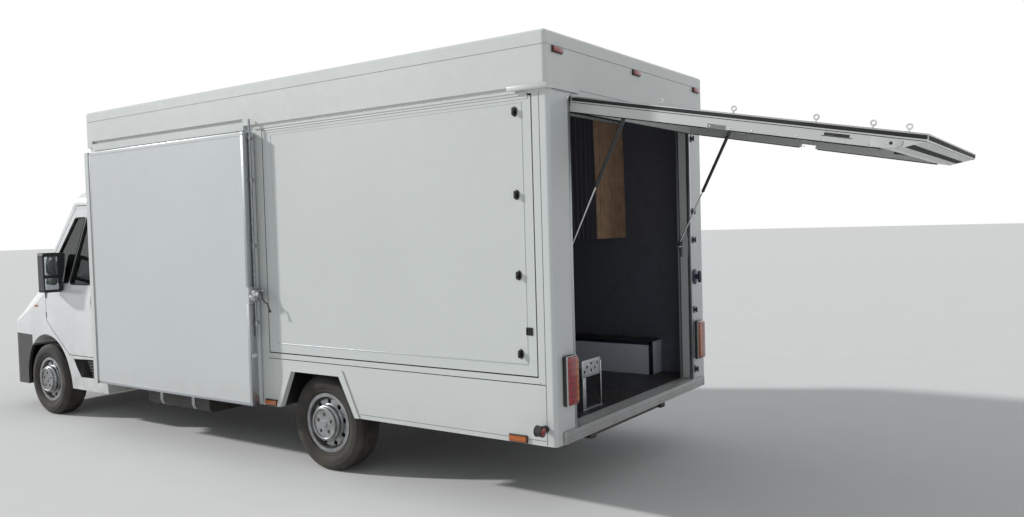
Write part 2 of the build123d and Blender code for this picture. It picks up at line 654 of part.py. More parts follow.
def rear_frame():
    """Return the tail portal: two corner posts and the header that carries the tail flap."""
    y0, y1 = BODY_REAR - POST_DEPTH, BODY_REAR
    post = slab(JAMB_X, BODY_HALF_W, y0, y1, SKIRT_Z, FASCIA_Z)
    edge = post.edges().filter_by(Axis.Z).group_by(Axis.Y)[-1].sort_by(Axis.X)[-1]
    post = fillet(edge, CORNER_R)
    foot_y, foot_z = STRUT_FOOT
    foot = slab(JAMB_X - 2, JAMB_X + 2, foot_y - 13, foot_y + 51, foot_z - 77, foot_z + 68)
    stud = rod_x(STRUT_X + 6 + FIT, JAMB_X, *STRUT_FOOT, 6)
    post += foot + stud
    header_z = TAIL_AXIS[1] + 2
    header = slab(-JAMB_X - 1, JAMB_X + 1, BODY_REAR - 60, BODY_REAR, header_z, FASCIA_Z)
    header += slab(-TAIL_HALF_W + 12, TAIL_HALF_W - 12, BODY_REAR - 5, TAIL_AXIS[0] + 1, header_z, header_z + 10)
    barrel = rod_x(-TAIL_HALF_W + 12, TAIL_HALF_W - 12, *TAIL_AXIS, HINGE_R)
    return post + right_of(post) + header + barrel


def rear_sill():
    """Return the grooved aluminium step beam across the tail."""
    y0, y1 = BODY_REAR - POST_DEPTH, BODY_REAR + SILL_OUT
    beam = slab(-JAMB_X, JAMB_X, y0, BODY_REAR, SKIRT_Z + 6, FLOOR_Z)
    beam += slab(-SILL_HALF_W, SILL_HALF_W, BODY_REAR, y1, SKIRT_Z + 6, FLOOR_Z)
    for z in (SKIRT_Z + 22, SKIRT_Z + 42):
        beam -= slab(-SILL_HALF_W - 1, SILL_HALF_W + 1, y1 - 6, y1 + 1, z, z + 8)
    return beam


def side_flap():
    """Return the serving flap with its raised border line."""
    x0, x1 = BODY_HALF_W - FLAP_T, BODY_HALF_W
    panel = slab(x0, x1, *FLAP_Y, *FLAP_Z)
    y0, y1 = FLAP_Y[0] + 82, FLAP_Y[1] - 60
    z0, z1 = FLAP_Z[0] + 60, FLAP_Z[1] - 28
    border = slab(x1 - 1, x1 + 2, y0, y1, z0, z1) - slab(x1 - 2, x1 + 3, y0 + 7, y1 - 7, z0 + 7, z1 - 7)
    leaf = slab(x1 - 2, x1 + 3, FLAP_Y[0] + 20, FLAP_Y[1] - 20, FLAP_Z[1] - 16, FLAP_Z[1] + 3)
    leaf -= rod_y(FLAP_AXIS[0], *FLAP_Y, FLAP_AXIS[1], HINGE_R + FIT)
    return panel + border + leaf


def service_door():
    """Return the deep service door: an outer panel on a perimeter frame with two ribs."""
    x0, x1 = BODY_HALF_W + GAP, BODY_HALF_W + DOOR_OUT
    y0, y1 = DOOR_Y
    z0, z1 = DOOR_Z
    door = slab(x0, x1, y0, y1, z0, z1)
    door -= slab(x0 - 1, x1 - DOOR_SKIN, y0 + DOOR_FRAME, y1 - DOOR_FRAME, z0 + DOOR_FRAME, z1 - DOOR_FRAME)
    for z in (z0 + 640, z0 + 1290):
        door += slab(x0 + 10, x1 - DOOR_SKIN + 1, y0 + DOOR_FRAME - 1, y1 - DOOR_FRAME + 1, z, z + 40)
    door -= rod_z(*DOOR_AXIS, z0 - 5, z1 + 5, HINGE_R + FIT)
    door += slab(x1 - 1, x1 + 3, y0 + 8, y1, z1 - 26, z1 - 8)
    return door


def lock_bar():
    """Return the vertical lock rod on the door's rear edge with its clamps and lever."""
    x = BODY_HALF_W + 52
    y = DOOR_Y[1] + LOCK_ROD_R + 6
    bar = rod_z(x, y, *LOCK_ROD_Z, LOCK_ROD_R)
    for z in (1010, 1560, 2030, 2330):
        bar += slab(x - 14, x + 14, DOOR_Y[1], y + 4, z, z + 30)
    bar += slab(x - 24, x + 40, DOOR_Y[1], y + 12, LOCK_Z - 42, LOCK_Z + 42)
    lever = side_prism([(y, LOCK_Z - 16), (y + 52, LOCK_Z - 30), (y + 60, LOCK_Z - 12), (y, LOCK_Z + 12)], x + 14, x + 32)
    return bar + lever


def closed_to_open(shape):
    """Swing a tail-flap shape from the shut pose to the pose in which it stands."""
    hinge = Axis((0, TAIL_AXIS[0], TAIL_AXIS[1]), (1, 0, 0))
    return shape.rotate(hinge, TAIL_OPEN)


def tail_flap():
    """Return the tail flap: skin panel, deep side rails, top rail and the bevelled foot channel."""
    outer_y = TAIL_AXIS[0] - 1
    top_z = TAIL_AXIS[1] - HINGE_R - FIT
    tip_z = TAIL_AXIS[1] - TAIL_LENGTH
    w = TAIL_HALF_W
    flap = slab(-w, w, outer_y - TAIL_SKIN, outer_y, tip_z, top_z)
    foot_z = tip_z + 130
    for side in (-1, 1):
        inner = side * (w - TAIL_RAIL)
        rail = slab(inner, side * w, outer_y - TAIL_DEPTH, outer_y - TAIL_SKIN + 1, foot_z, top_z)
        rail -= slab(inner - side, side * (w + 1), outer_y - 56, outer_y - 42, TAIL_AXIS[1] - 1553, TAIL_AXIS[1] - 1435)
        notch_z = STRUT_FOOT[1]
        rail -= slab(inner - side, side * (w + 1), outer_y - TAIL_DEPTH - 1, outer_y - TAIL_DEPTH + 22,
                     notch_z - 30, notch_z + 70)
        flap += rail
        pin_y = outer_y - STRUT_PIN_DEPTH
        pin_z = TAIL_AXIS[1] - STRUT_PIN_S
        flap += rod_x(inner, side * (STRUT_X - 10), pin_y, pin_z, 5)
    flap += slab(-w, w, outer_y - TAIL_DEPTH, outer_y - TAIL_SKIN + 1, top_z - 40, top_z)
    deep = outer_y - TAIL_DEPTH
    foot = side_prism(
        [(deep, foot_z + 55), (deep, foot_z), (outer_y - 34, tip_z + 12), (outer_y - TAIL_SKIN + 1, tip_z + 12),
         (outer_y - TAIL_SKIN + 1, foot_z + 55)], -w, w
    )
    foot -= side_prism(
        [(deep + 12, foot_z - 22), (outer_y - 40, tip_z + 34), (outer_y - 34, tip_z + 60), (deep + 26, foot_z + 8)],
        -w + 12, w - 12,
    )
    return closed_to_open(flap + foot)


def strut_line():
    """Return the strut's upper pin and its unit direction to the foot, in (y, z)."""
    angle = math.radians(TAIL_OPEN)
    dy = -1 - STRUT_PIN_DEPTH
    dz = -STRUT_PIN_S
    pin = (
        TAIL_AXIS[0] + dy * math.cos(angle) - dz * math.sin(angle),
        TAIL_AXIS[1] + dy * math.sin(angle) + dz * math.cos(angle),
    )
    length = math.dist(pin, STRUT_FOOT)
    unit = ((STRUT_FOOT[0] - pin[0]) / length, (STRUT_FOOT[1] - pin[1]) / length)
    return pin, unit, length


def along_strut(shape_z):
    """Place a shape drawn downwards from the origin along the left strut's line."""
    pin, unit, _ = strut_line()
    tilt = math.degrees(math.atan2(unit[0], -unit[1]))
    return Pos(STRUT_X, pin[0], pin[1]) * Rot(tilt, 0, 0) * shape_z


def strut_tube():
    """Return the left strut's pressure tube with its upper eye."""
    eye = rod_x(-5, 5, 0, 0, 12)
    tube = Pos(0, 0, -(STRUT_TUBE_L + 24) / 2) * Cylinder(STRUT_TUBE_R, STRUT_TUBE_L - 24)
    neck = Pos(0, 0, -16) * Cylinder(6, 20)
    bore = Pos(0, 0, -STRUT_TUBE_L + 210) * Cylinder(STRUT_ROD_R + FIT, 450)
    body = (tube - (bore & Pos(0, 0, -STRUT_TUBE_L / 2 - 30) * Cylinder(30, STRUT_TUBE_L - 40))) + neck + eye
    body -= rod_x(-8, 8, 0, 0, 5 + FIT)
    return along_strut(body)


def strut_rod():
    """Return the left strut's rod with its lower eye."""
    length = strut_line()[2]
    inside = 40.0
    top = -(STRUT_TUBE_L - inside)
    shaft = Pos(0, 0, (top - length) / 2) * Cylinder(STRUT_ROD_R, length + top)
    eye = rod_x(-6, 6, 0, -length, 10)
    return along_strut(shaft + eye)


def tail_lamps():
    """Return the two tall rear lamps."""
    x0, x1 = BODY_HALF_W - 189, BODY_HALF_W - 74
    lamp = slab(x0, x1, BODY_REAR, BODY_REAR + 45, 640, 925)
    lamp = fillet(lamp.faces().sort_by(Axis.Y)[-1].edges(), 14)
    return both_sides(lamp)


def red_markers():
    """Return the three red lamps on the rear fascia."""
    y = BODY_REAR + 4
    lamps = []
    reach, z = BODY_HALF_W - 94, ROOF_Z - 103
    for x in (-reach, 0, reach):
        lamps.append(slab(x - 55, x + 55, y, y + 18, z - 18, z + 18).solid())
    return Compound(children=lamps)


def amber_markers():
    """Return the amber side markers along both skirts."""
    lamps = []
    for y in (ARCH_FOOT[0] - 96, BODY_REAR - 258):
        marker = slab(BODY_HALF_W, BODY_HALF_W + 16, y - 58, y + 58, SKIRT_Z + 9, SKIRT_Z + 41)
        lamps += [marker.solid(), right_of(marker).solid()]
    return Compound(children=lamps)


def outriggers():
    """Return the rubber-armed corner lamps that stand out from the rear corners."""
    y = BODY_REAR - 70
    arm = slab(BODY_HALF_W, BODY_HALF_W + 58, y - 14, y + 14, 512, 536)
    head = rod_y(BODY_HALF_W + 64, y - 22, y + 22, 524, 30)
    return both_sides(arm + head)


def floor_locker():
    """Return the low white locker along the right wall."""
    inner = BODY_HALF_W - WALL_T
    start, base_z = WHEELBOX_Y[1] + 50, FLOOR_Z - COVER_T
    body = slab(-inner, -LOCKER_X, start, LOCKER_END, base_z, 750)
    body -= slab(-inner + 15, -LOCKER_X - 15, start + 15, LOCKER_END - 15, base_z + 15, 735)
    return body


def curtains():
    """Return the two hung curtain blocks, dark towards the middle and pale by the wall."""
    y0, y1 = CURTAIN_Y - 30, CURTAIN_Y + 30
    top = CURTAIN_RAIL_Z - FIT
    wall = BODY_HALF_W - WALL_T
    dark = slab(-552, 300, y0, y1, CURTAIN_FOOT_Z, top)
    pale = slab(14 - wall, -564, y0, y1, CURTAIN_FOOT_Z, top)
    return Compound(children=[dark.solid(), pale.solid()])


def build_parts():
    """Return every node by name, in the axle frame."""
    cab = cab_parts()
    parts = {
        "chassis_frame": chassis_frame(),
        "front_suspension": front_suspension(),
        "rear_axle": rear_axle(),
        "leaf_springs": leaf_springs(),
        "engine_block": engine_block(),
        "fuel_tank": fuel_tank(),
        "exhaust": exhaust(),
        "cab_shell": cab["shell"],
        "windscreen": cab["screen"],
        "bonnet": cab["bonnet"],
        "front_bumper": cab["bumper"],
        "front_grille": cab["grille"],
        "headlamps": both_sides(cab["lamp"]),
        "dashboard": dashboard(),
        "cab_seats": seats(),
        "steering_wheel": steering_wheel(),
        "box_floor": box_floor(),
        "box_left_wall": left_wall(),
        "box_right_wall": right_of(side_wall()),
        "box_front_wall": box_front_wall(),
        "box_roof": box_roof(),
        "rear_frame": rear_frame(),
        "rear_sill": rear_sill(),
        "side_flap": side_flap(),
        "service_door": service_door() + lock_bar(),
        "tail_flap": tail_flap(),
        "rear_lamps": Compound(children=list(tail_lamps().solids()) + list(red_markers().solids())),
        "amber_markers": amber_markers(),
        "corner_outriggers": outriggers(),
        "floor_locker": floor_locker(),
        "curtains": curtains(),
        "knuckle_left": knuckle(),
        "knuckle_right": right_of(knuckle()),
        "strut_tube_left": strut_tube(),
        "strut_tube_right": right_of(strut_tube()),
        "strut_rod_left": strut_rod(),
        "strut_rod_right": right_of(strut_rod()),
        "cab_door_left": cab["door"],
        "cab_door_right": right_of(cab["door"]),
        "door_glass_left": cab["panes"],
        "door_glass_right": right_of(cab["panes"]),
        "door_mirror_left": mirror_head(),
        "door_mirror_right": right_of(mirror_head()),
    }
    for end, y in (("front", 0.0), ("rear", WHEELBASE)):
        for hand, side in (("left", 1), ("right", -1)):
            parts[f"{end}_tyre_{hand}"] = Pos(0, y, 0) * tyre(side)
            parts[f"{end}_rim_{hand}"] = Pos(0, y, 0) * rim(side)
    return parts


def middle_y():
    """Return the station under the middle of the bounding box, nose to flap tip."""
    angle = math.radians(TAIL_OPEN)
    tip = TAIL_AXIS[0] - math.cos(angle) + TAIL_LENGTH * math.sin(angle)
    return (NOSE_Y + tip) / 2


def main():
    """Build every node, centre the set and write one STEP file per node."""
    os.makedirs("parts", exist_ok=True)
    shift = Pos(0, -middle_y(), 0)
    for name, shape in build_parts().items():
        moved = shift * shape
        moved.label = name
        export_step(moved, f"parts/{name}.step")


main()
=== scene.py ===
import logging
import math
from contextlib import contextmanager
from dataclasses import dataclass
from enum import Enum
from typing import Callable, Iterable, Iterator, Sequence

import bpy
from mathutils import Matrix, Vector


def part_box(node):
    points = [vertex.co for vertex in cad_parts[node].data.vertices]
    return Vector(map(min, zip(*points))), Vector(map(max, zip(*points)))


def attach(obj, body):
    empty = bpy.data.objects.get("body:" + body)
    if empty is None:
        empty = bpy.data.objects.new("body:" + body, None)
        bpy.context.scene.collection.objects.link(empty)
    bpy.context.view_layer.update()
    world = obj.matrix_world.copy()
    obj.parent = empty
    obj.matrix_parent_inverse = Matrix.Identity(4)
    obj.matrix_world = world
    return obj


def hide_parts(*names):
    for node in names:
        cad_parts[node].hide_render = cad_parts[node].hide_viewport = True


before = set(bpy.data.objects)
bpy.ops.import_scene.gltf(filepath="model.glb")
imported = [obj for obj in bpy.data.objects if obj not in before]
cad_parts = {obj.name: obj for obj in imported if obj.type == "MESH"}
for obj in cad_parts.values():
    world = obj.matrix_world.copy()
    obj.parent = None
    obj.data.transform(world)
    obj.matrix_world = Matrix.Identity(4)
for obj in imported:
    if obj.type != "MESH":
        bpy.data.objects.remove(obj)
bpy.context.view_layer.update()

LOG = logging.getLogger("mobile_shop")
MM = 0.001
MIDDLE_Y = -(sum(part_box("front_rim_left"), Vector()) / 2).y / MM
X, Y, Z = (1, 0, 0), (0, 1, 0), (0, 0, 1)
MIRROR = Matrix.Scale(-1, 4, X)
Point = tuple[float, float, float]
Flat = tuple[float, float]
Obj, Tree, Socket = bpy.types.Object, bpy.types.NodeTree, bpy.types.NodeSocket


def at(x: float, y: float, z: float) -> Vector:
    """Turn a station in millimetres from the front axle on the ground into frame metres.

    Args:
        x: towards the vehicle's left.
        y: behind the front axle.
        z: above the ground.

    Returns:
        The point in the shared frame.
    """
    return Vector((x, y - MIDDLE_Y, z)) * MM


def surface(node: str, start: Point, way: Point) -> Vector | None:
    """Find the station where a ray first meets a CAD node.

    Args:
        node: the CAD node's name.
        start: the ray's start.
        way: the ray's direction.

    Returns:
        The station, or None.
    """
    hit, point, _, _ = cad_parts[node].ray_cast(at(*start), Vector(way).normalized())
    return point / MM + Vector((0, MIDDLE_Y, 0)) if hit else None


# ---- Modelling tools; stations and sizes are in millimetres ----


def clear() -> None:
    """Deselect everything, so that the next operator meets only what it is given."""
    bpy.ops.object.select_all(action="DESELECT")


def hold(obj: Obj) -> None:
    """Make one object the selected and active one."""
    clear()
    obj.select_set(True)
    bpy.context.view_layer.objects.active = obj


@contextmanager
def editing(obj: Obj, kind: str = "FACE", test: Callable | None = None) -> Iterator[None]:
    """Open an object in edit mode with some of its elements selected.

    Args:
        obj: the mesh object.
        kind: EDGE or FACE.
        test: given an edge's two ends or a face's middle and normal; None selects all.

    Yields:
        Nothing; operators inside the block act on the selection.
    """
    hold(obj)
    mesh = obj.data
    bpy.context.tool_settings.mesh_select_mode = (False, kind == "EDGE", kind == "FACE")
    for part in (mesh.vertices, mesh.edges, mesh.polygons):
        part.foreach_set("select", [test is None] * len(part))
    if test is not None and kind == "EDGE":
        for edge in mesh.edges:
            ends = [mesh.vertices[i] for i in edge.vertices]
            edge.select = bool(test(*(v.co for v in ends)))
            if edge.select:
                for v in ends:
                    v.select = True
    elif test is not None:
        for face in mesh.polygons:
            face.select = bool(test(face.center, face.normal))
    bpy.ops.object.mode_set(mode="EDIT")
    yield
    bpy.ops.object.mode_set(mode="OBJECT")


def modify(obj: Obj, kind: str, **settings: object) -> Obj:
    """Add a modifier with its settings and apply it.

    Args:
        obj: the mesh object.
        kind: Blender's name of the modifier type.
        **settings: the modifier's own settings.

    Returns:
        The same object.
    """
    hold(obj)
    made = obj.modifiers.new(kind.lower(), kind)
    for key, value in settings.items():
        setattr(made, key, value)
    bpy.ops.object.modifier_apply(modifier=made.name)
    return obj


def soften(obj: Obj, width: float, segments: int = 2) -> Obj:
    """Round every sharp edge by a width, in so many segments."""
    return modify(obj, "BEVEL", width=width * MM, segments=segments, limit_method="ANGLE",
                  angle_limit=math.radians(30), use_clamp_overlap=True)


def tidy(obj: Obj) -> Obj:
    """Merge doubled points and turn all faces outwards."""
    with editing(obj):
        bpy.ops.mesh.remove_doubles(threshold=0.00002)
        bpy.ops.mesh.normals_make_consistent(inside=False)
    return obj


def block(x0: float, y0: float, z0: float, x1: float, y1: float, z1: float, round_by: float = 0.0,
          segments: int = 2) -> Obj:
    """Make a box with rounded edges.

    Args:
        x0, y0, z0: one corner's station.
        x1, y1, z1: the opposite corner's.
        round_by: edge radius.
        segments: steps over each rounded edge.

    Returns:
        The new object, at the origin with its place in its mesh.
    """
    a, b = at(x0, y0, z0), at(x1, y1, z1)
    clear()
    bpy.ops.mesh.primitive_cube_add(size=1, location=(a + b) / 2, scale=[abs(v) for v in b - a])
    bpy.ops.object.transform_apply(location=True, rotation=True, scale=True)
    obj = bpy.context.object
    return soften(obj, round_by, segments) if round_by else obj


def blocks(round_by: float, *rows: Sequence[float]) -> Obj:
    """Join boxes that share an edge radius, each given by its two corners."""
    return join([block(*row, round_by) for row in rows])


def prism(points: Sequence[Flat], axis: str, start: float, end: float, round_by: float = 0.0,
          segments: int = 2) -> Obj:
    """Extrude a flat outline along an axis.

    Args:
        points: the outline, as (y, z) for axis x, (x, z) for y and (x, y) for z.
        axis: x, y or z.
        start: where the outline is drawn.
        end: where the extrusion stops.
        round_by: edge radius.
        segments: steps over each rounded edge.

    Returns:
        The new object.
    """
    place = {"x": lambda p, q, t: at(t, p, q), "y": lambda p, q, t: at(p, t, q), "z": at}[axis]
    clear()
    bpy.ops.mesh.primitive_circle_add(vertices=len(points), fill_type="NGON", radius=0.1)
    obj = bpy.context.object
    for vertex, (p, q) in zip(obj.data.vertices, points):
        vertex.co = place(p, q, start)
    with editing(obj):
        bpy.ops.mesh.extrude_region_move(TRANSFORM_OT_translate={"value": place(0, 0, end) - place(0, 0, start)})
    tidy(obj)
    return soften(obj, round_by, segments) if round_by else obj


def turned(profile: Sequence[Flat], centre: Point, axis: Point, steps: int = 32, ring: bool = False) -> Obj:
    """Turn a profile about an axis, as on a lathe.

    Args:
        profile: (distance along the axis, radius) pairs; unless it is a ring, its ends run on to the axis.
        centre: the station of the profile's zero.
        axis: the direction of the axis.
        steps: divisions of the full turn.
        ring: True if the profile is a closed section that never meets the axis.

    Returns:
        The new object.
    """
    line = Vector(axis).normalized()
    across = line.orthogonal().normalized()
    middle = at(*centre)
    if not ring:
        head, tail = ([(along, 0)] if radius else [] for along, radius in (profile[0], profile[-1]))
        profile = [*head, *profile, *tail]
    clear()
    bpy.ops.mesh.primitive_circle_add(vertices=len(profile), fill_type="NOTHING", radius=0.1)
    obj = bpy.context.object
    for vertex, (along, radius) in zip(obj.data.vertices, profile):
        vertex.co = middle + line * along * MM + across * radius * MM
    if not ring:
        ends = {tuple(obj.data.vertices[i].co) for i in (0, -1)}
        with editing(obj, "EDGE", lambda a, b: {tuple(a), tuple(b)} == ends):
            bpy.ops.mesh.delete(type="EDGE")
    with editing(obj):
        bpy.ops.mesh.spin(steps=steps, angle=math.tau, center=middle, axis=line)
    return tidy(obj)


def hoop(inner: float, outer: float, low: float, high: float, *where: object) -> Obj:
    """Turn a plain ring between two radii and two distances along its axis; the rest is turned's."""
    return turned([(low, inner), (low, outer), (high, outer), (high, inner)], *where, ring=True)


def tube(points: Sequence[Point], radius: float, closed: bool = False, straight: bool = False,
         fine: int = 3) -> Obj:
    """Run a round bar along a line.

    Args:
        points: the line's control stations.
        radius: the bar's radius.
        closed: True for a loop.
        straight: True for straight runs between the points, else the line is smooth.
        fine: divisions of a quarter of the section.

    Returns:
        The bar as a mesh object.
    """
    clear()
    data = bpy.data.curves.new("bar", "CURVE")
    data.dimensions = "3D"
    spline = data.splines.new("POLY" if straight else "NURBS")
    spline.points.add(len(points) - 1)
    for spot, point in zip(spline.points, points):
        spot.co = (*at(*point), 1)
    spline.use_cyclic_u = closed
    if not straight:
        spline.order_u = min(3, len(points))
        spline.use_endpoint_u = not closed
        spline.resolution_u = 4
    data.bevel_depth = radius * MM
    data.bevel_resolution = fine
    data.use_fill_caps = not closed
    obj = bpy.data.objects.new("bar", data)
    bpy.context.scene.collection.objects.link(obj)
    hold(obj)
    bpy.ops.object.convert(target="MESH")
    return tidy(bpy.context.object)


def join(parts: Sequence[Obj]) -> Obj:
    """Join several objects into the first one.

    Args:
        parts: the objects.

    Returns:
        The first of them.
    """
    clear()
    for part in parts:
        part.select_set(True)
    bpy.context.view_layer.objects.active = parts[0]
    if len(parts) > 1:
        bpy.ops.object.join()
    return parts[0]


def copy_of(obj: Obj, move: Matrix) -> Obj:
    """Duplicate an object with its own mesh.

    Args:
        obj: the object.
        move: the move or mirroring that goes into the copy's mesh.

    Returns:
        The copy.
    """
    hold(obj)
    bpy.ops.object.duplicate(linked=False)
    made = bpy.context.object
    made.data.transform(move)
    if move.determinant() < 0:
        made.data.flip_normals()
    return made


def repeat(obj: Obj, moves: Iterable[Matrix]) -> Obj:
    """Copy an object by each move and join the copies with it."""
    return join([obj] + [copy_of(obj, move) for move in moves])


def spread(obj: Obj, step: Point, marks: Iterable[float]) -> Obj:
    """Copy an object to each multiple of a step, and join the copies with it."""
    return repeat(obj, [Matrix.Translation(Vector(step) * mark * MM) for mark in marks])


def row(obj: Obj, step: Point, count: int) -> Obj:
    """Join an object with the next count copies of it, a step apart."""
    return spread(obj, step, range(1, count + 1))


def about(centre: Vector, turn: Matrix) -> Matrix:
    """Return a turn or scaling made about a point in metres."""
    return Matrix.Translation(centre) @ turn @ Matrix.Translation(-centre)


def both(obj: Obj) -> Obj:
    """Join an object with its mirror image on the other side of the vehicle."""
    return repeat(obj, [MIRROR])


def cut(obj: Obj, tool: Obj) -> Obj:
    """Cut a tool's shape out of an object, and delete the tool.

    Args:
        obj: the object.
        tool: the shape to take away.

    Returns:
        The same object.
    """
    modify(obj, "BOOLEAN", object=tool, operation="DIFFERENCE", solver="EXACT")
    bpy.data.objects.remove(tool, do_unlink=True)
    return tidy(obj)


def oblong(p0: float, q0: float, p1: float, q1: float) -> list[Flat]:
    """Return the four corners of an upright rectangle."""
    return [(p0, q0), (p1, q0), (p1, q1), (p0, q1)]


def rounded(points: Sequence[Flat], radius: float, steps: int = 4) -> list[Flat]:
    """Round the corners of a flat closed outline.

    Args:
        points: the outline.
        radius: how far from each corner its curve starts.
        steps: divisions of each corner.

    Returns:
        The outline with its corners curved.
    """
    out = []
    for i, here in enumerate(points):
        corner = Vector(here)
        ends = []
        for other in (points[i - 1], points[(i + 1) % len(points)]):
            share = min(0.48, radius / math.dist(here, other))
            ends.append(corner.lerp(Vector(other), share))
        for k in range(steps + 1):
            t = k / steps
            out.append(tuple(ends[0].lerp(corner, t).lerp(corner.lerp(ends[1], t), t)))
    return out


def evenly(points: Sequence[Flat], step: float) -> list[Flat]:
    """Divide the long sides of a closed outline.

    Args:
        points: the outline.
        step: about how long each division is.

    Returns:
        The outline with more points.
    """
    out = []
    for i, here in enumerate(points):
        after = points[(i + 1) % len(points)]
        count = max(1, round(math.dist(here, after) / step))
        out += [tuple(Vector(here).lerp(Vector(after), k / count)) for k in range(count)]
    return out


def laid(node: str, stations: Sequence[Point], way: Point, lift: float) -> list[Vector]:
    """Lay a line onto a CAD node.

    Args:
        node: the CAD node.
        stations: where the rays start.
        way: the rays' unit direction.
        lift: how far the line stands off the surface.

    Returns:
        The stations that were met.
    """
    met = [surface(node, station, way) for station in stations]
    return [point - Vector(way) * lift for point in met if point is not None]


def puff(obj: Obj, pinned: Callable[[Vector], bool], cap: float = 18.0) -> Obj:
    """Swell a pad with a short cloth simulation.

    Args:
        obj: the pad's slightly smaller starting shape.
        pinned: tells by its place in metres whether a point is held, as by a seam or the pan below.
        cap: how far a point may move.

    Returns:
        The finished pad.
    """
    modify(obj, "REMESH", mode="VOXEL", voxel_size=8 * MM)
    before = [v.co.copy() for v in obj.data.vertices]
    held = obj.vertex_groups.new(name="held")
    held.add([i for i, co in enumerate(before) if pinned(co)], 1.0, "REPLACE")
    hold(obj)
    made = obj.modifiers.new("cloth", "CLOTH")
    cloth = {"quality": 4, "mass": 0.3, "tension_stiffness": 12, "compression_stiffness": 12, "shear_stiffness": 5,
             "bending_stiffness": 0.6, "vertex_group_mass": "held", "use_pressure": True,
             "uniform_pressure_force": 4.0}
    for key, value in cloth.items():
        setattr(made.settings, key, value)
    made.settings.effector_weights.gravity = 0.0
    made.point_cache.frame_end = 20
    for number in range(1, 21):
        bpy.context.scene.frame_set(number)
    bpy.ops.object.modifier_apply(modifier=made.name)
    bpy.context.scene.frame_set(1)
    for v, start in zip(obj.data.vertices, before):
        move = v.co - start
        if move.length > cap * MM:
            v.co = start + move.normalized() * cap * MM
    return modify(obj, "SUBSURF", levels=1, render_levels=1)


# ---- Finishes ----


def srgb(code: str, share: float = 1.0) -> list[float]:
    """Turn a hex colour such as #d8dad6 into a share of its linear values."""
    parts = [int(code[i:i + 2], 16) / 255 for i in (1, 3, 5)]
    return [share * (v / 12.92 if v <= 0.04045 else ((v + 0.055) / 1.055) ** 2.4) for v in parts] + [1.0]


def feed(tree: Tree, node: bpy.types.Node, feeds: dict) -> None:
    """Set a node's inputs.

    Args:
        tree: the node tree.
        node: the node.
        feeds: input name or number to a value or to another node's output.
    """
    for key, value in feeds.items():
        socket = node.inputs[key]
        if isinstance(value, Socket):
            tree.links.new(value, socket)
        else:
            socket.default_value = value


def add(tree: Tree, kind: str, feeds: dict | None = None, **settings: object) -> bpy.types.Node:
    """Add a node with its settings and what feeds its inputs.

    Args:
        tree: the node tree.
        kind: Blender's name of the node type, without ShaderNode before it.
        feeds: as in feed.
        **settings: the node's own settings.

    Returns:
        The new node.
    """
    made = tree.nodes.new("ShaderNode" + kind)
    for key, value in settings.items():
        setattr(made, key, value)
    feed(tree, made, feeds or {})
    return made


def place_of(tree: Tree) -> Socket:
    """Return the piece's own coordinates, which are metres in the shared frame."""
    return add(tree, "TexCoord").outputs["Object"]


def along(tree: Tree, axis: int) -> Socket:
    """Return one of the three own coordinates."""
    return add(tree, "SeparateXYZ", {0: place_of(tree)}).outputs[axis]


def span(tree: Tree, factor: Socket, ends: Flat = (0, 1), into: Flat = (0, 1)) -> Socket:
    """Map a factor's range onto another."""
    return add(tree, "MapRange", {0: factor, 1: ends[0], 2: ends[1], 3: into[0], 4: into[1]}).outputs[0]


def calc(tree: Tree, operation: str, *values: object) -> Socket:
    """Work out a factor from values and other factors by one of Blender's math operations."""
    return add(tree, "Math", dict(enumerate(values)), operation=operation).outputs[0]


def mottle(tree: Tree, size: float, low: float = 0.4, high: float = 0.6, detail: float = 3.0,
           stretch: Point = (1, 1, 1)) -> Socket:
    """Make a soft random pattern.

    Args:
        tree: the node tree.
        size: the width of a blotch.
        low: the noise value that becomes 0.
        high: the noise value that becomes 1.
        detail: finer octaves.
        stretch: how much shorter the pattern is along each axis.

    Returns:
        A factor from 0 to 1.
    """
    scaled = add(tree, "Mapping", {"Vector": place_of(tree), "Scale": stretch}).outputs[0]
    noise = add(tree, "TexNoise", {"Vector": scaled, "Scale": 1000 / size, "Detail": detail}).outputs[0]
    return span(tree, noise, (low, high))


def bands(tree: Tree, pitch: float, axis: str, wander: float = 0.0) -> Socket:
    """Return soft stripes of a pitch across an axis, which may wander a little."""
    return add(tree, "TexWave", {"Vector": place_of(tree), "Scale": 1000 / pitch / 20, "Distortion": wander,
                                 "Detail": wander or 2.0}, bands_direction=axis).outputs["Fac"]


def blend(tree: Tree, factor: object, a: object, b: object) -> Socket:
    """Mix two colours by a factor."""
    return add(tree, "Mix", {0: factor, 6: a, 7: b}, data_type="RGBA").outputs[2]


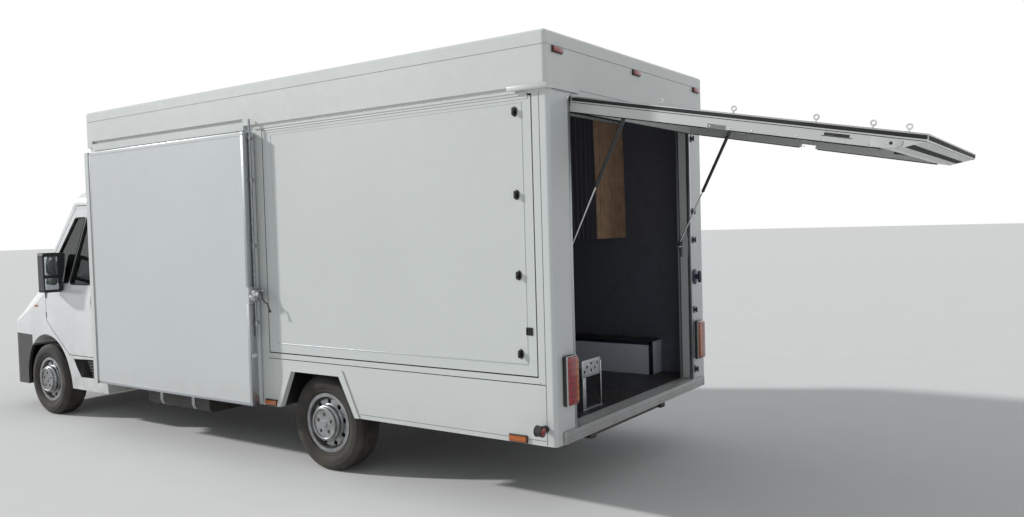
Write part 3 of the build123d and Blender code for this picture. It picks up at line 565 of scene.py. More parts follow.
@dataclass(frozen=True)
class Finish:
    """One real finish: the material's name, its slot name, which is not used, colour and gloss."""

    name: str
    slot: str
    colour: str
    roughness: float = 0.5
    metallic: float = 0.0
    coat: float = 0.0
    relief: float = 0.05
    grain: float = 3.0
    # Darker tone towards the ground: road film, and on the white body panels and doors also painted shade.
    soil: str = "#857b6c"
    soil_share: float = 0.0
    soil_low: float = 300.0
    soil_high: float = 900.0
    shade: str | None = None
    shade_size: float = 400.0

    def material(self) -> bpy.types.Material:
        """Return the finish's material, made the first time it is asked for."""
        made = bpy.data.materials.get(self.name)
        if made is None:
            made = bpy.data.materials.new(self.name)
            made.use_nodes = True
            tree = made.node_tree
            tree.nodes.clear()
            shader = add(tree, "BsdfPrincipled", {"Roughness": self.roughness, "Metallic": self.metallic,
                                                  "Coat Weight": self.coat, "Coat Roughness": 0.06})
            add(tree, "OutputMaterial", {"Surface": shader.outputs[0]})
            feed(tree, shader, self.dress(tree))
        return made

    def base(self, tree: Tree) -> Socket:
        """Return the colour with its variation, before the darker tone low down."""
        shade = srgb(self.shade) if self.shade else srgb(self.colour, 0.93)
        return blend(tree, mottle(tree, self.shade_size, 0.35, 0.65), srgb(self.colour), shade)

    def soiled(self, tree: Tree, colour: Socket) -> Socket:
        """Lay a darker tone over a colour, thicker towards the ground: road film, and on the white body panels and
        doors also painted shade.
        """
        height = span(tree, along(tree, 2), (self.soil_low * MM, self.soil_high * MM), (1, 0))
        film = calc(tree, "MULTIPLY", height, mottle(tree, 120, 0.25, 0.75, 5))
        return blend(tree, calc(tree, "MULTIPLY", film, self.soil_share), colour, srgb(self.soil))

    def bump(self, tree: Tree, height: Socket) -> Socket:
        """Return a normal raised by a height of this finish's relief."""
        return add(tree, "Bump", {"Height": height, "Distance": self.relief * MM}).outputs[0]

    def dress(self, tree: Tree) -> dict:
        """Return what feeds the shader: colour, a gloss that wanders a little, and relief."""
        gloss = (max(0.03, self.roughness - 0.05), self.roughness + 0.07)
        return {"Base Color": self.soiled(tree, self.base(tree)),
                "Roughness": span(tree, mottle(tree, 60, 0.3, 0.7, 4), into=gloss),
                "Normal": self.bump(tree, mottle(tree, self.grain, 0.3, 0.7, 1))}


@dataclass(frozen=True)
class LinedPanel(Finish):
    """Painted sandwich panel with a different lining on the faces that look inwards."""

    lining: str = "#4a4e58"
    centre: Point = (0.0, 0.0, 1.4)
    reach: float = 5.0

    def base(self, tree: Tree) -> Socket:
        """Return outer paint or lining, by whether the face looks at the room's middle."""
        spot = add(tree, "TexCoord").outputs
        arm = add(tree, "VectorMath", {0: spot["Object"], 1: self.centre}, operation="SUBTRACT").outputs[0]
        facing = add(tree, "VectorMath", {0: spot["Normal"], 1: arm}, operation="DOT_PRODUCT").outputs["Value"]
        inward = calc(tree, "LESS_THAN", facing, -0.02)
        near = calc(tree, "COMPARE", along(tree, 0), 0.0, self.reach)
        board = blend(tree, mottle(tree, 30, 0.3, 0.7, 6), srgb(self.lining), srgb(self.lining, 0.8))
        return blend(tree, calc(tree, "MULTIPLY", inward, near), Finish.base(self, tree), board)


@dataclass(frozen=True)
class RodPaint(Finish):
    """Door paint that gives way to bare zinc behind the door's rear edge, where the lock rod stands."""

    edge: float = 3240.5

    def dress(self, tree: Tree) -> dict:
        """Paint the door, and leave what stands behind its edge bare."""
        bare = calc(tree, "GREATER_THAN", along(tree, 1), (self.edge - MIDDLE_Y) * MM)
        zinc = blend(tree, mottle(tree, 12), srgb("#9b9fa3"), srgb("#7f8488"))
        feeds = Finish.dress(self, tree)
        return feeds | {"Base Color": blend(tree, bare, feeds["Base Color"], zinc),
                        "Metallic": calc(tree, "MULTIPLY", bare, 0.85)}


@dataclass(frozen=True)
class Drawn(Finish):
    """Extruded or drawn metal, streaked along the way it was pulled."""

    stretch: Point = (0.02, 1, 1)

    def dress(self, tree: Tree) -> dict:
        """Return streaks in colour, gloss and relief."""
        streak = mottle(tree, self.grain, 0.3, 0.7, 4, self.stretch)
        dull = blend(tree, calc(tree, "MULTIPLY", streak, 0.6), srgb(self.colour), srgb(self.colour, 0.8))
        return {"Base Color": self.soiled(tree, dull), "Normal": self.bump(tree, streak),
                "Roughness": span(tree, streak, into=(self.roughness - 0.06, self.roughness + 0.1))}


@dataclass(frozen=True)
class Rusting(Finish):
    """Bare or painted steel with patches of rust."""

    rust: str = "#6b4430"
    rust_share: float = 0.5

    def base(self, tree: Tree) -> Socket:
        """Return the steel's colour with rust in patches."""
        patch = calc(tree, "MULTIPLY", mottle(tree, 55, 0.5, 0.68, 6), self.rust_share)
        return blend(tree, patch, Finish.base(self, tree), srgb(self.rust))


@dataclass(frozen=True)
class Lens(Finish):
    """Moulded lamp lens: coloured clear plastic with fine prisms inside."""

    pitch: float = 6.0
    transmission: float = 0.35

    def dress(self, tree: Tree) -> dict:
        """Return a ribbed relief under a glossy face."""
        ribs = bands(tree, self.pitch, "Z")
        colour = blend(tree, ribs, srgb(self.colour), srgb(self.colour, 0.7))
        return {"Transmission Weight": self.transmission, "IOR": 1.49, "Base Color": self.soiled(tree, colour),
                "Normal": self.bump(tree, ribs)}


@dataclass(frozen=True)
class Glazing(Finish):
    """Tinted safety glass with a faint dusty film."""

    def dress(self, tree: Tree) -> dict:
        """Return a clear pane with dust on it."""
        dust = calc(tree, "MULTIPLY", mottle(tree, 90, 0.45, 0.75, 5), 0.25)
        return {"Transmission Weight": 0.92, "IOR": 1.5,
                "Base Color": blend(tree, dust, srgb(self.colour), srgb("#8b8f8c")),
                "Roughness": span(tree, dust, into=(self.roughness, 0.25))}


@dataclass(frozen=True)
class Cloth(Finish):
    """Woven fabric: threads over and under, with sheen."""

    roughness: float = 0.85
    relief: float = 0.4
    thread: float = 3.0

    def dress(self, tree: Tree) -> dict:
        """Return a weave in colour and relief."""
        weave = calc(tree, "MULTIPLY", *(bands(tree, self.thread, axis, 1.0) for axis in "XZ"))
        light, dark = srgb(self.colour), srgb(self.colour, 0.62)
        colour = blend(tree, mottle(tree, 90, 0.3, 0.7, 4), light, blend(tree, weave, dark, light))
        return {"Sheen Weight": 0.3, "Sheen Roughness": 0.6, "Base Color": colour, "Normal": self.bump(tree, weave)}


# Two-pack paint on flat boards: pale warm grey-white, nearly flat, with road film and painted shade low down.
BOARD = {"roughness": 0.36, "coat": 0.2, "relief": 0.04, "grain": 4.0, "shade_size": 900}
# Darker low down: partly road film, partly painted shade where the lower skirt reflects the dark ground.
LOW_FILM_AND_SHADE = {"soil": "#8c8576", "soil_share": 0.3, "soil_high": 620}
METAL = {"metallic": 1.0}


class Stock:
    """The finishes on this vehicle, each with what it gives the eye."""

    # Body panels: darker low down, partly road film, partly painted shade.
    panel = LinedPanel("painted_sandwich_panel", "white_paint", "#d3d7d4", shade="#d0d4d1", lining="#6b6d78",
                       centre=(0.0, 0.1, 1.45), reach=1.035, **BOARD, **LOW_FILM_AND_SHADE)
    # The flaps and doors: the same paint all over.
    leaf = Finish("painted_leaf_panel", "white_paint", "#d1d5d3", shade="#ced2d0", **BOARD, **LOW_FILM_AND_SHADE)
    tail = Finish("painted_tail_panel", "tail_panel", "#cfd1ce", shade="#c6c8c5", **BOARD)
    # The service door's paint, with the bare lock rod that stands on its rear edge.
    door = RodPaint("painted_door_panel", "white_paint", "#cdd1d0", shade="#cacecd", **BOARD, **LOW_FILM_AND_SHADE)
    # Laminated board of the locker: cool pale grey.
    locker = Finish("laminated_board", "white_paint", "#dfe4ec", 0.4, relief=0.03, shade="#d6dbe3")
    # Reflective white sheeting of a blank number plate.
    plate = Finish("reflective_plate_sheeting", "white_paint", "#e9e9e4", 0.35, coat=0.5, relief=0.06, grain=1.2)
    # Automotive enamel on pressed steel: whiter and glossier than the body, with a dark inner trim.
    cab = LinedPanel("automotive_enamel", "white_paint", "#e4e6e6", 0.22, coat=0.6, relief=0.02, grain=2.0,
                     soil="#7f786c", soil_share=0.45, lining="#3a3c3f", centre=(0.0, -2.75, 1.35))
    # Moulded polypropylene: black, fine leather-like grain, greying with age.
    plastic = Finish("moulded_polypropylene", "black_plastic", "#1c1d1f", 0.55, relief=0.12, grain=1.6,
                     soil="#6d675c", soil_share=0.35, shade="#26272a")
    # Gloss plastic of the turn buttons, and the blue-black one of the large handle.
    gloss = Finish("gloss_abs", "black_plastic", "#101114", 0.25, coat=0.3, relief=0.02)
    blue = Finish("blue_black_nylon", "black_plastic", "#1b2741", 0.35, coat=0.2, relief=0.03, shade="#22304c")
    # Dull dark plastic inside the cab.
    trim = Finish("soft_touch_abs", "black_plastic", "#2b2d30", 0.6, relief=0.1, grain=1.4, shade="#323438")
    # Rubber of seals, arms and boots: dull black.
    rubber = Finish("epdm_rubber", "black_rubber", "#161617", 0.75, relief=0.08, grain=2.0, shade="#1f1f1f",
                    soil_share=0.25)
    # Carbon-filled tyre rubber: brown-black, dusty on the walls.
    tyre = Finish("tyre_compound", "tyre", "#202021", 0.82, relief=0.15, grain=2.5, shade="#2c2a28",
                  shade_size=70, soil="#6e6558", soil_share=0.35, soil_high=750)
    # Silver wheel enamel with brake dust.
    wheel = Finish("silver_wheel_enamel", "rim_paint", "#a9abad", 0.36, metallic=0.55, coat=0.3, relief=0.03,
                   soil="#4d443b", soil_share=0.55, soil_high=700, shade="#8f9193", shade_size=60)
    # Aluminium: grey and streaked along its length, bare on the sill and anodised on the uprights.
    extrusion = Drawn("mill_finish_aluminium", "bare_aluminium", "#b9bbbd", 0.38, soil="#8a7f70", soil_share=0.5,
                      soil_low=420, soil_high=560, **METAL)
    upright = Drawn("anodised_aluminium_profile", "bare_aluminium", "#b4b7ba", 0.34, relief=0.04,
                    stretch=(1, 1, 0.02), **METAL)
    dark_metal = Drawn("dark_anodised_angle", "bare_aluminium", "#3c4452", 0.4, metallic=0.8, relief=0.03)
    # Zinc: dull and spangled on sheet, bright on small fittings.
    zinc = Finish("galvanised_steel", "bare_aluminium", "#b3b6b8", 0.42, metallic=0.9, grain=9, shade="#8f9396",
                  shade_size=12)
    bright = Finish("bright_zinc_plate", "rod_steel", "#c6c8ca", 0.26, relief=0.02, shade="#a5a7a9",
                    shade_size=25, **METAL)
    # The struts: mirror-bright rod and smooth black tube.
    rod = Finish("hard_chrome", "rod_steel", "#d3d5d7", 0.12, relief=0.01, **METAL)
    strut = Finish("black_satin_enamel", "strut_black", "#141416", 0.35, coat=0.3, relief=0.02)
    # Glass and lamps: grey-tinted panes, silvered mirrors, clear covers and ribbed red and amber.
    glass = Glazing("tinted_safety_glass", "glazing", "#3b4644", 0.02)
    mirror = Finish("silvered_mirror_glass", "glazing", "#c9ced1", 0.03, relief=0.0, **METAL)
    clear = Lens("clear_polycarbonate", "lamp_glass", "#e4e8ea", 0.04, coat=0.5, pitch=9.0, transmission=0.9)
    red = Lens("red_acrylic_lens", "red_lens", "#b3202a", 0.1, coat=0.7, relief=0.4)
    amber = Lens("amber_acrylic_lens", "amber_lens", "#e0731d", 0.1, coat=0.7, relief=0.4)
    # Steel under the floor: black paint, casting and exhaust, all spotted with rust.
    chassis = Rusting("chassis_black_paint", "black_steel", "#232323", 0.6, relief=0.2, grain=6,
                      soil="#5d5245", soil_share=0.6, soil_high=800, rust_share=0.4)
    iron = Rusting("cast_iron", "cast", "#4a4744", 0.7, metallic=0.5, relief=0.3, grain=4, rust="#71472f",
                   rust_share=0.7, soil_share=0.3)
    pipe = Rusting("aluminised_exhaust_steel", "exhaust_steel", "#8a857e", 0.5, metallic=0.8, relief=0.1,
                   rust="#7a5236", soil_share=0.4)
    # Film-faced birch ply: nearly black phenolic film with a fine wire-mesh print.
    ply = Finish("film_faced_ply", "floor_board", "#2a2b30", relief=0.2, grain=2.5, shade="#3a3937",
                 shade_size=160)
    # Woven cloth: grey on the seats, beige and nearly black in the curtains.
    seat = Cloth("woven_seat_fabric", "seat_fabric", "#3a3d44", relief=0.5)
    pale_curtain = Cloth("beige_curtain_cotton", "curtain_fabric", "#b08e72")
    dark_curtain = Cloth("dark_curtain_cotton", "curtain_fabric", "#2d2c35")


# ---- Pieces and their places ----


class Side(Enum):
    """A side of the vehicle; +1 is its left."""

    LEFT = 1
    RIGHT = -1

    @property
    def word(self) -> str:
        """The side's name as the CAD nodes write it."""
        return self.name.lower()


class Copies(Enum):
    """What is made of a piece that is modelled on the left."""

    ONE = "the piece alone"
    BOTH = "one piece with its mirror image"
    PAIR = "two pieces, each on its own side's body"


def finish(obj: Obj, name: str, body: str, look: Finish, smooth: float = 32.0) -> Obj:
    """Name a finished piece, dress it and let it ride on its body.

    Args:
        obj: the piece.
        name: its name in the scene.
        body: the CAD body that carries it.
        look: its finish.
        smooth: edges flatter than this many degrees shade smooth.

    Returns:
        The same object.
    """
    hold(obj)
    bpy.ops.object.shade_smooth_by_angle(angle=math.radians(smooth))
    obj.name = obj.data.name = name
    obj.data.materials.clear()
    obj.data.materials.append(look.material())
    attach(obj, body)
    LOG.info("%s rides %s", name, body)
    return obj


def piece(look: Finish, copies: Copies = Copies.ONE, body: str | None = None) -> Callable:
    """Mark a method that models a piece, which bears the method's name.

    Args:
        look: its finish.
        copies: what is made of it.
        body: the body that carries it, without its side for a pair; None is the sub-assembly's own.

    Returns:
        The decorator.
    """
    def mark(method: Callable) -> Callable:
        """Put the piece's facts on its method."""
        method.piece = (look, copies, body)
        return method
    return mark


@dataclass
class Assembly:
    """A sub-assembly on the body's own sizes, with one marked method for each piece."""

    half_width: float = 1069.0
    rear: float = 5738.0
    floor: float = 500.0
    body: str = "vehicle"

    def place(self, obj: Obj) -> Obj:
        """Move a piece from where it is drawn to where it stands."""
        return obj

    def build(self) -> None:
        """Model, place and dress each marked piece in turn."""
        for name, method in vars(type(self)).items():
            if not hasattr(method, "piece"):
                continue
            look, copies, body = method.piece
            obj = self.place(method(self))
            if copies is Copies.PAIR:
                for side, made in zip(Side, (obj, copy_of(obj, MIRROR))):
                    finish(made, f"{name}_{side.word}", f"{body or self.body}_{side.word}", look)
            else:
                finish(both(obj) if copies is Copies.BOTH else obj, name, body or self.body, look)


def screw_head(spot: Point, axis: Point, radius: float = 4.0, height: float = 2.0) -> Obj:
    """Make one domed screw or rivet head that stands on a face."""
    dome = [(0, radius), (height * 0.4, radius * 0.95), (height * 0.8, radius * 0.6), (height, 0)]
    return turned(dome, spot, axis, 10)


def turn_button(spot: Point, axis: Point, size: float = 1.0) -> Obj:
    """Make one turn button: an oval foot, a neck and a rounded wing.

    Args:
        spot: the station of its foot's middle.
        axis: X or Y, in which it stands up.
        size: scale against the usual 56 mm foot.

    Returns:
        The button.
    """
    s = size
    foot = turned([(0, 20 * s), (4 * s, 19.5 * s), (6 * s, 17 * s)], (0, 0, 0), Z, 28)
    wing = block(-7 * s, -22 * s, 14 * s, 7 * s, 22 * s, 26 * s, 5 * s, 3)
    neck = turned([(0, 11 * s), (16 * s, 9 * s), (18 * s, 0)], (0, 0, 0), Z, 20)
    middle = at(0, 0, 0)
    foot.data.transform(about(middle, Matrix.Diagonal((1, 1.45, 1, 1))))
    whole = join([foot, wing, neck])
    aim = Vector(axis).to_track_quat("Z", "Y").to_matrix().to_4x4()
    if axis == X:
        aim = Matrix(((0, 0, 1, 0), (-1, 0, 0, 0), (0, -1, 0, 0), (0, 0, 0, 1)))
    whole.data.transform(Matrix.Translation(at(*spot)) @ aim @ Matrix.Translation(-middle))
    return tidy(whole)


# ---- Sub-assemblies ----


@dataclass
class Studio:
    """Camera, lamps, floor and world."""

    camera_at: Point = (5.015, 8.227, 1.661)
    yaw: float = -2.5314
    pitch: float = -0.0340
    roll: float = -0.0279
    focal_share: float = 0.82572
    rise: float = -0.00287

    def camera(self) -> None:
        """Set up the camera at the photograph's viewpoint."""
        data = bpy.data.cameras.new("camera")
        cam = bpy.data.objects.new("camera", data)
        bpy.context.scene.collection.objects.link(cam)
        level = Vector((math.sin(self.yaw), -math.cos(self.yaw), 0))
        forward = Vector((-level.y * math.cos(self.pitch), level.x * math.cos(self.pitch), math.sin(self.pitch)))
        lift = level.cross(forward)
        right = math.cos(self.roll) * level + math.sin(self.roll) * lift
        up = -math.sin(self.roll) * level + math.cos(self.roll) * lift
        place = Vector(self.camera_at) - Vector((0, MIDDLE_Y * MM, 0))
        cam.matrix_world = Matrix.Translation(place) @ Matrix((right, up, -forward)).transposed().to_4x4()
        data.sensor_width = 36
        data.lens = 36 * self.focal_share
        data.shift_y = self.rise
        data.clip_end = 500
        bpy.context.scene.camera = cam

    def lamp(self, name: str, strength: float, towards: Point, spread_by: float) -> None:
        """Add a soft sun.

        Args:
            name: the lamp's name.
            strength: its strength.
            towards: where it shines.
            spread_by: its disc's width in degrees.
        """
        data = bpy.data.lights.new(name, "SUN")
        data.energy = strength
        data.angle = math.radians(spread_by)
        sun = bpy.data.objects.new(name, data)
        sun.rotation_mode = "QUATERNION"
        sun.rotation_quaternion = Vector(towards).to_track_quat("-Z", "Y")
        bpy.context.scene.collection.objects.link(sun)

    def world(self) -> None:
        """Light the object softly from all round; the camera and reflections see white."""
        world = bpy.data.worlds.new("studio")
        world.use_nodes = True
        tree = world.node_tree
        tree.nodes.clear()
        rays = add(tree, "LightPath").outputs
        seen = calc(tree, "MAXIMUM", rays["Is Camera Ray"], rays["Is Glossy Ray"])
        seen = calc(tree, "MAXIMUM", seen, rays["Is Transmission Ray"])
        soft = add(tree, "Background", {0: srgb("#f2f6fc"), 1: 0.42}).outputs[0]
        white = add(tree, "Background", {0: srgb("#ffffff"), 1: 1.0}).outputs[0]
        mixed = add(tree, "MixShader", {0: seen, 1: soft, 2: white}).outputs[0]
        add(tree, "OutputWorld", {0: mixed})
        bpy.context.scene.world = world

    def ground(self) -> None:
        """Lay the pale floor."""
        clear()
        bpy.ops.mesh.primitive_plane_add(size=300, location=(0, 0, 0))
        floor = bpy.context.object
        floor.name = "studio_floor"
        paper = Finish("studio_paper", "white_paint", "#e9e9e7", 0.9, relief=0.0, shade="#e7e7e5")
        floor.data.materials.append(paper.material())

    def build(self) -> None:
        """Set up everything round the object."""
        bpy.context.scene.view_settings.view_transform = "Standard"
        self.camera()
        self.world()
        self.ground()
        self.lamp("key", 2.5, (-0.40, 0.84, -0.42), 3)
        self.lamp("fill", 0.12, (0.3, -0.8, -0.4), 60)


@dataclass
class CadDress:
    """Finishes of the nodes that stay as the CAD made them; a star means the left and the right one."""

    looks: tuple = (
        (Stock.chassis, "chassis_frame front_suspension rear_axle leaf_springs"),
        (Stock.iron, "engine_block knuckle_*"),
        (Stock.pipe, "exhaust"),
        (Stock.cab, "cab_shell bonnet cab_door_*"),
        (Stock.plastic, "front_bumper front_grille fuel_tank door_mirror_*"),
        (Stock.trim, "dashboard steering_wheel"),
        (Stock.glass, "windscreen door_glass_*"),
        (Stock.clear, "headlamps"),
        (Stock.ply, "box_floor"),
        (Stock.panel, "box_left_wall box_right_wall box_front_wall box_roof"),
        (Stock.leaf, "side_flap rear_frame"),
        (Stock.door, "service_door"),
        (Stock.locker, "floor_locker"),
        (Stock.tail, "tail_flap"),
        (Stock.extrusion, "rear_sill"),
        (Stock.amber, "amber_markers"),
        (Stock.rubber, "corner_outriggers"),
        (Stock.red, "rear_lamps"),
        (Stock.strut, "strut_tube_*"),
        (Stock.rod, "strut_rod_*"),
        (Stock.wheel, "front_rim_* rear_rim_*"),
        (Stock.tyre, "front_tyre_* rear_tyre_*"),
        (Stock.seat, "cab_seats"),
        (Stock.dark_curtain, "curtains"),
    )

    def build(self) -> None:
        """Put each finish into its nodes' material slots."""
        for look, names in self.looks:
            for name in {word.replace("*", side.word) for word in names.split() for side in Side}:
                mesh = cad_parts[name].data
                mesh.materials.clear()
                mesh.materials.append(look.material())
        LOG.info("CAD nodes dressed")


@dataclass
class RoadWheel:
    """A tyre with its tread, and the bolts and valve on its rim."""

    end: str
    side: Side
    radius: float = 334.0
    half_track: float = 890.0
    wheelbase: float = 3800.0
    pitches: int = 66
    block_share: float = 0.82
    groove_depth: float = 5.6
    lug_circle: float = 65.0
    valve_circle: float = 158.0

    @property
    def centre(self) -> Point:
        """The wheel's middle as a station."""
        return (self.side.value * self.half_track, 0.0 if self.end == "front" else self.wheelbase, self.radius)

    def section(self) -> list[Flat]:
        """Return the tyre's closed section from bead to bead."""
        half = [(79.4, 189.3), (81.6, 208), (88, 213), (96.5, 219), (98.6, 224), (97.6, 229), (103, 240),
                (107.8, 252), (110.2, 262), (110.4, 270), (109.2, 282), (107.4, 291), (107.9, 294), (106, 299),
                (101, 309), (94, 317), (88.5, 322), (85, 328),
                # from here on, the ribs and grooves of the crown
                (80, 331.4), (74.5, 332.9), (52, 333.3), (50.5, 326.3), (45.5, 326.3), (44, 333.5),
                (20, 333.8), (18.5, 326.8), (13.5, 326.8), (12, 333.9)]
        return half + [(-a, r) for a, r in reversed(half)]

    def tread(self) -> Obj:
        """Turn the tyre and cut its cross grooves."""
        obj = turned(self.section(), self.centre, X, self.pitches * 2, ring=True)
        middle = at(*self.centre)
        step = math.tau / (self.pitches * 2)
        shift = (self.block_share - 0.5) * 2 * step
        for v in obj.data.vertices:
            arm = v.co - middle
            if round((math.atan2(arm.z, arm.y) - math.pi / 2) / step) % 2:
                v.co = middle + Matrix.Rotation(shift, 3, "X") @ arm
        narrow = step * (1 - self.block_share) * 2
        groove_at = step + shift + narrow / 2

        def groove(centre: Vector, normal: Vector) -> bool:
            """Tell whether a face is the floor of a cross groove."""
            arm = centre - middle
            across = abs(arm.x) / MM
            angle = (math.atan2(arm.z, arm.y) - math.pi / 2) % (2 * step)
            rib = 53 < across < 84 or 21 < across < 43 or across < 11
            gap = min(abs(angle - groove_at), abs(angle - groove_at + 2 * step))
            return math.hypot(arm.y, arm.z) > 0.3225 and rib and gap < narrow * 0.45

        with editing(obj, "FACE", groove):
            bpy.ops.mesh.extrude_region_shrink_fatten(TRANSFORM_OT_shrink_fatten={"value": -self.groove_depth * MM})
        return obj

    def bolts(self) -> Obj:
        """Make the five hexagon wheel bolts in their recesses."""
        x, y, z = self.centre
        out = self.side.value
        seat, axis = (x + out * 107.6, y, z + self.lug_circle), (out, 0, 0)
        head = turned([(0, 11.2), (9, 11.2), (11.5, 9.6), (12.4, 6)], seat, axis, 6)
        cone = turned([(0.2, 12.4), (3.4, 12.4), (4.4, 11.3)], seat, axis, 24)
        places = (about(at(*self.centre), Matrix.Rotation(math.tau * i / 5, 4, "X")) for i in range(1, 5))
        return repeat(join([head, cone]), places)

    def valve(self) -> Obj:
        """Make the rubber valve with its cap."""
        x, y, z = self.centre
        out = self.side.value
        seat = (x + out * 46, y + self.valve_circle * math.sin(0.35), z - self.valve_circle * math.cos(0.35))
        return turned([(0, 7), (12, 6), (24, 4.2), (30, 4.2), (30, 5), (42, 5), (44, 3.5)], seat,
                      (out, 0.25, 0.12), 16)

    def build(self) -> None:
        """Build and dress the wheel's pieces."""
        body, tag = f"{self.end}_wheel_{self.side.word}", f"{self.end}_{self.side.word}"
        tyre = finish(self.tread(), f"tread_tyre_{tag}", body, Stock.tyre)
        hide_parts(f"{self.end}_tyre_{self.side.word}")
        finish(self.bolts(), f"wheel_bolts_{tag}", body, Stock.iron)
        finish(self.valve(), f"valve_{tag}", body, Stock.rubber)


@dataclass
class ShopBody(Assembly):
    """Trims, seals and small fittings on the body's left side."""

    flap_y: Flat = (3330.0, 5620.0)
    flap_z: Flat = (815.0, 2390.0)
    gap: float = 8.0

    @piece(Stock.rubber)
    def hatch_seal(self) -> Obj:
        """Rubber seal round the hatch's edge."""
        y0, y1 = self.flap_y[0] - self.gap, self.flap_y[1] + self.gap
        z0, z1 = self.flap_z[0] - self.gap, self.flap_z[1]
        lip, back, face = 2.5, self.half_width - 34, self.half_width - 2
        return blocks(0.8, (back, y0, z0, face, y0 + lip, z1), (back, y1 - lip, z0, face, y1, z1),
                      (back, y0, z0, face, y1, z0 + lip))

    @piece(Stock.bright)
    def rail_rivets(self) -> Obj:
        """Rivets along the flap's hinge rail."""
        return row(screw_head((self.half_width + 11, 3360, 2424), X, 4.5, 2.2), (0, 166, 0), 12)

    @piece(Stock.rubber)
    def sealant_joints(self) -> Obj:
        """Dark sealant joints beside the rear post, along the skirt and below the hatch."""
        w = self.half_width
        return blocks(0.4, (w - 1, 5674, 428, w + 0.6, 5677, 2404), (w - 1, 4215, 452, w + 0.5, 5672, 454.5),
                      (w - 1, 3310, 767, w + 0.8, 5672, 771.5))

    @piece(Stock.leaf)
    def gutter_end_piece(self) -> Obj:
        """Wider end piece that overlaps the gutter rail at the rear corner."""
        return block(self.half_width + 34.5, 5486, 2421, self.half_width + 37.5, 5751, 2445, 1.2)

    @piece(Stock.upright, body="side_flap")
    def flap_bead(self) -> Obj:
        """Bright aluminium strip along the foot of the flap's raised border: painted highlight that stands for the
        gloss highlight on the border's paint.
        """
        w, (y0, y1), z = self.half_width, self.flap_y, self.flap_z[0] + 63
        return block(w + 1, y0 + 84, z, w + 3.6, y1 - 62, z + 4, 1.2, 3)

    @piece(Stock.rubber, body="side_flap")
    def flap_stop(self) -> Obj:
        """Small square rubber stop near the flap's lower rear corner."""
        w = self.half_width
        pad = block(w - 0.5, 5553, 1046, w + 5, 5597, 1090, 1.5)
        with editing(pad, "FACE", lambda c, n: n.x > 0.9 and c.x > at(w + 4, 0, 0).x):
            bpy.ops.mesh.inset(thickness=6 * MM)
            bpy.ops.mesh.extrude_region_shrink_fatten(TRANSFORM_OT_shrink_fatten={"value": -2 * MM})
        return pad

    @piece(Stock.gloss, body="side_flap")
    def flap_turn_buttons(self) -> Obj:
        """Four turn buttons down the flap's rear edge."""
        return join([turn_button((self.half_width, 5512, z), X) for z in (2309, 1841, 1385, 937)])


@dataclass
class TailLamps(Assembly):
    """Tall rear lamps and fascia lamps, each a rounded block that is copied along the rear face."""

    rows: tuple = (
        # name, finish, the other copies' steps in x or None for a mirror image, x0 y0 z0 x1 y1 z1, radius, steps;
        # y counts from the rear face
        ("rear_lamp_bases", Stock.plastic, None, (880, 0, 640, 995, 24, 925, 9, 3)),
        ("rear_lamp_rims", Stock.tail, None, (881, 21, 641, 989, 31, 924, 4.5, 3)),
        ("rear_lamp_lenses", Stock.red, None, (883, 18, 645, 985, 45, 920, 13, 4)),
        ("rear_lamp_amber", Stock.amber, None, (882.4, 28, 658, 922, 45.4, 907, 13, 4)),
        ("fascia_lamp_bases", Stock.plastic, (-975, 975), (-55, 4, 2618, 55, 12, 2654, 3, 2)),
        ("fascia_lamp_lenses", Stock.red, (-975, 975), (-50, 10, 2621, 50, 22, 2651, 7, 3)),
    )

    def build(self) -> None:
        """Build and dress the lamps."""
        for name, look, steps, (x0, y0, z0, x1, y1, z1, radius, fine) in self.rows:
            obj = block(x0, y0 + self.rear, z0, x1, y1 + self.rear, z1, radius, fine)
            obj = finish(spread(obj, X, steps) if steps else both(obj), name, self.body, look)
            if name == "rear_lamp_bases":
                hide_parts("rear_lamps")


@dataclass
class Curtains(Assembly):
    """Two pleated curtains hung across the body."""

    line_y: float = 5100.0
    top: float = 2441.0
    foot: float = 1552.0

    def pleated(self, x0: float, x1: float, pleats: int, depth: float) -> Obj:
        """Make one hung sheet with pleats that open downwards.

        Args:
            x0: one edge.
            x1: the other edge.
            pleats: number of full waves.
            depth: half the depth of a pleat at the foot.

        Returns:
            The sheet.
        """
        clear()
        bpy.ops.mesh.primitive_grid_add(x_subdivisions=pleats * 12, y_subdivisions=22, size=2)
        obj = bpy.context.object
        for v in obj.data.vertices:
            u, t = (v.co.x + 1) / 2, (1 - v.co.y) / 2
            wave = math.sin(math.tau * pleats * u + 0.8 * math.sin(5 * u))
            swing = depth * (0.45 + 0.55 * t) * wave + 4 * math.sin(9 * u + 3 * t)
            x = x0 + (x1 - x0) * u + 5 * math.sin(math.tau * pleats * 2 * u) * t
            v.co = at(x, self.line_y + swing, self.top + (self.foot - self.top) * t)
        modify(obj, "SOLIDIFY", thickness=1.6 * MM, offset=0.0)
        return tidy(obj)

    def build(self) -> None:
        for name, sheet, look in (("dark_curtain", self.pleated(-552, 300, 13, 26), Stock.dark_curtain),
                                  ("pale_curtain", self.pleated(-1020, -560, 8, 24), Stock.pale_curtain)):
            finish(sheet, name, self.body, look, 60)
            if name == "dark_curtain":
                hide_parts("curtains")


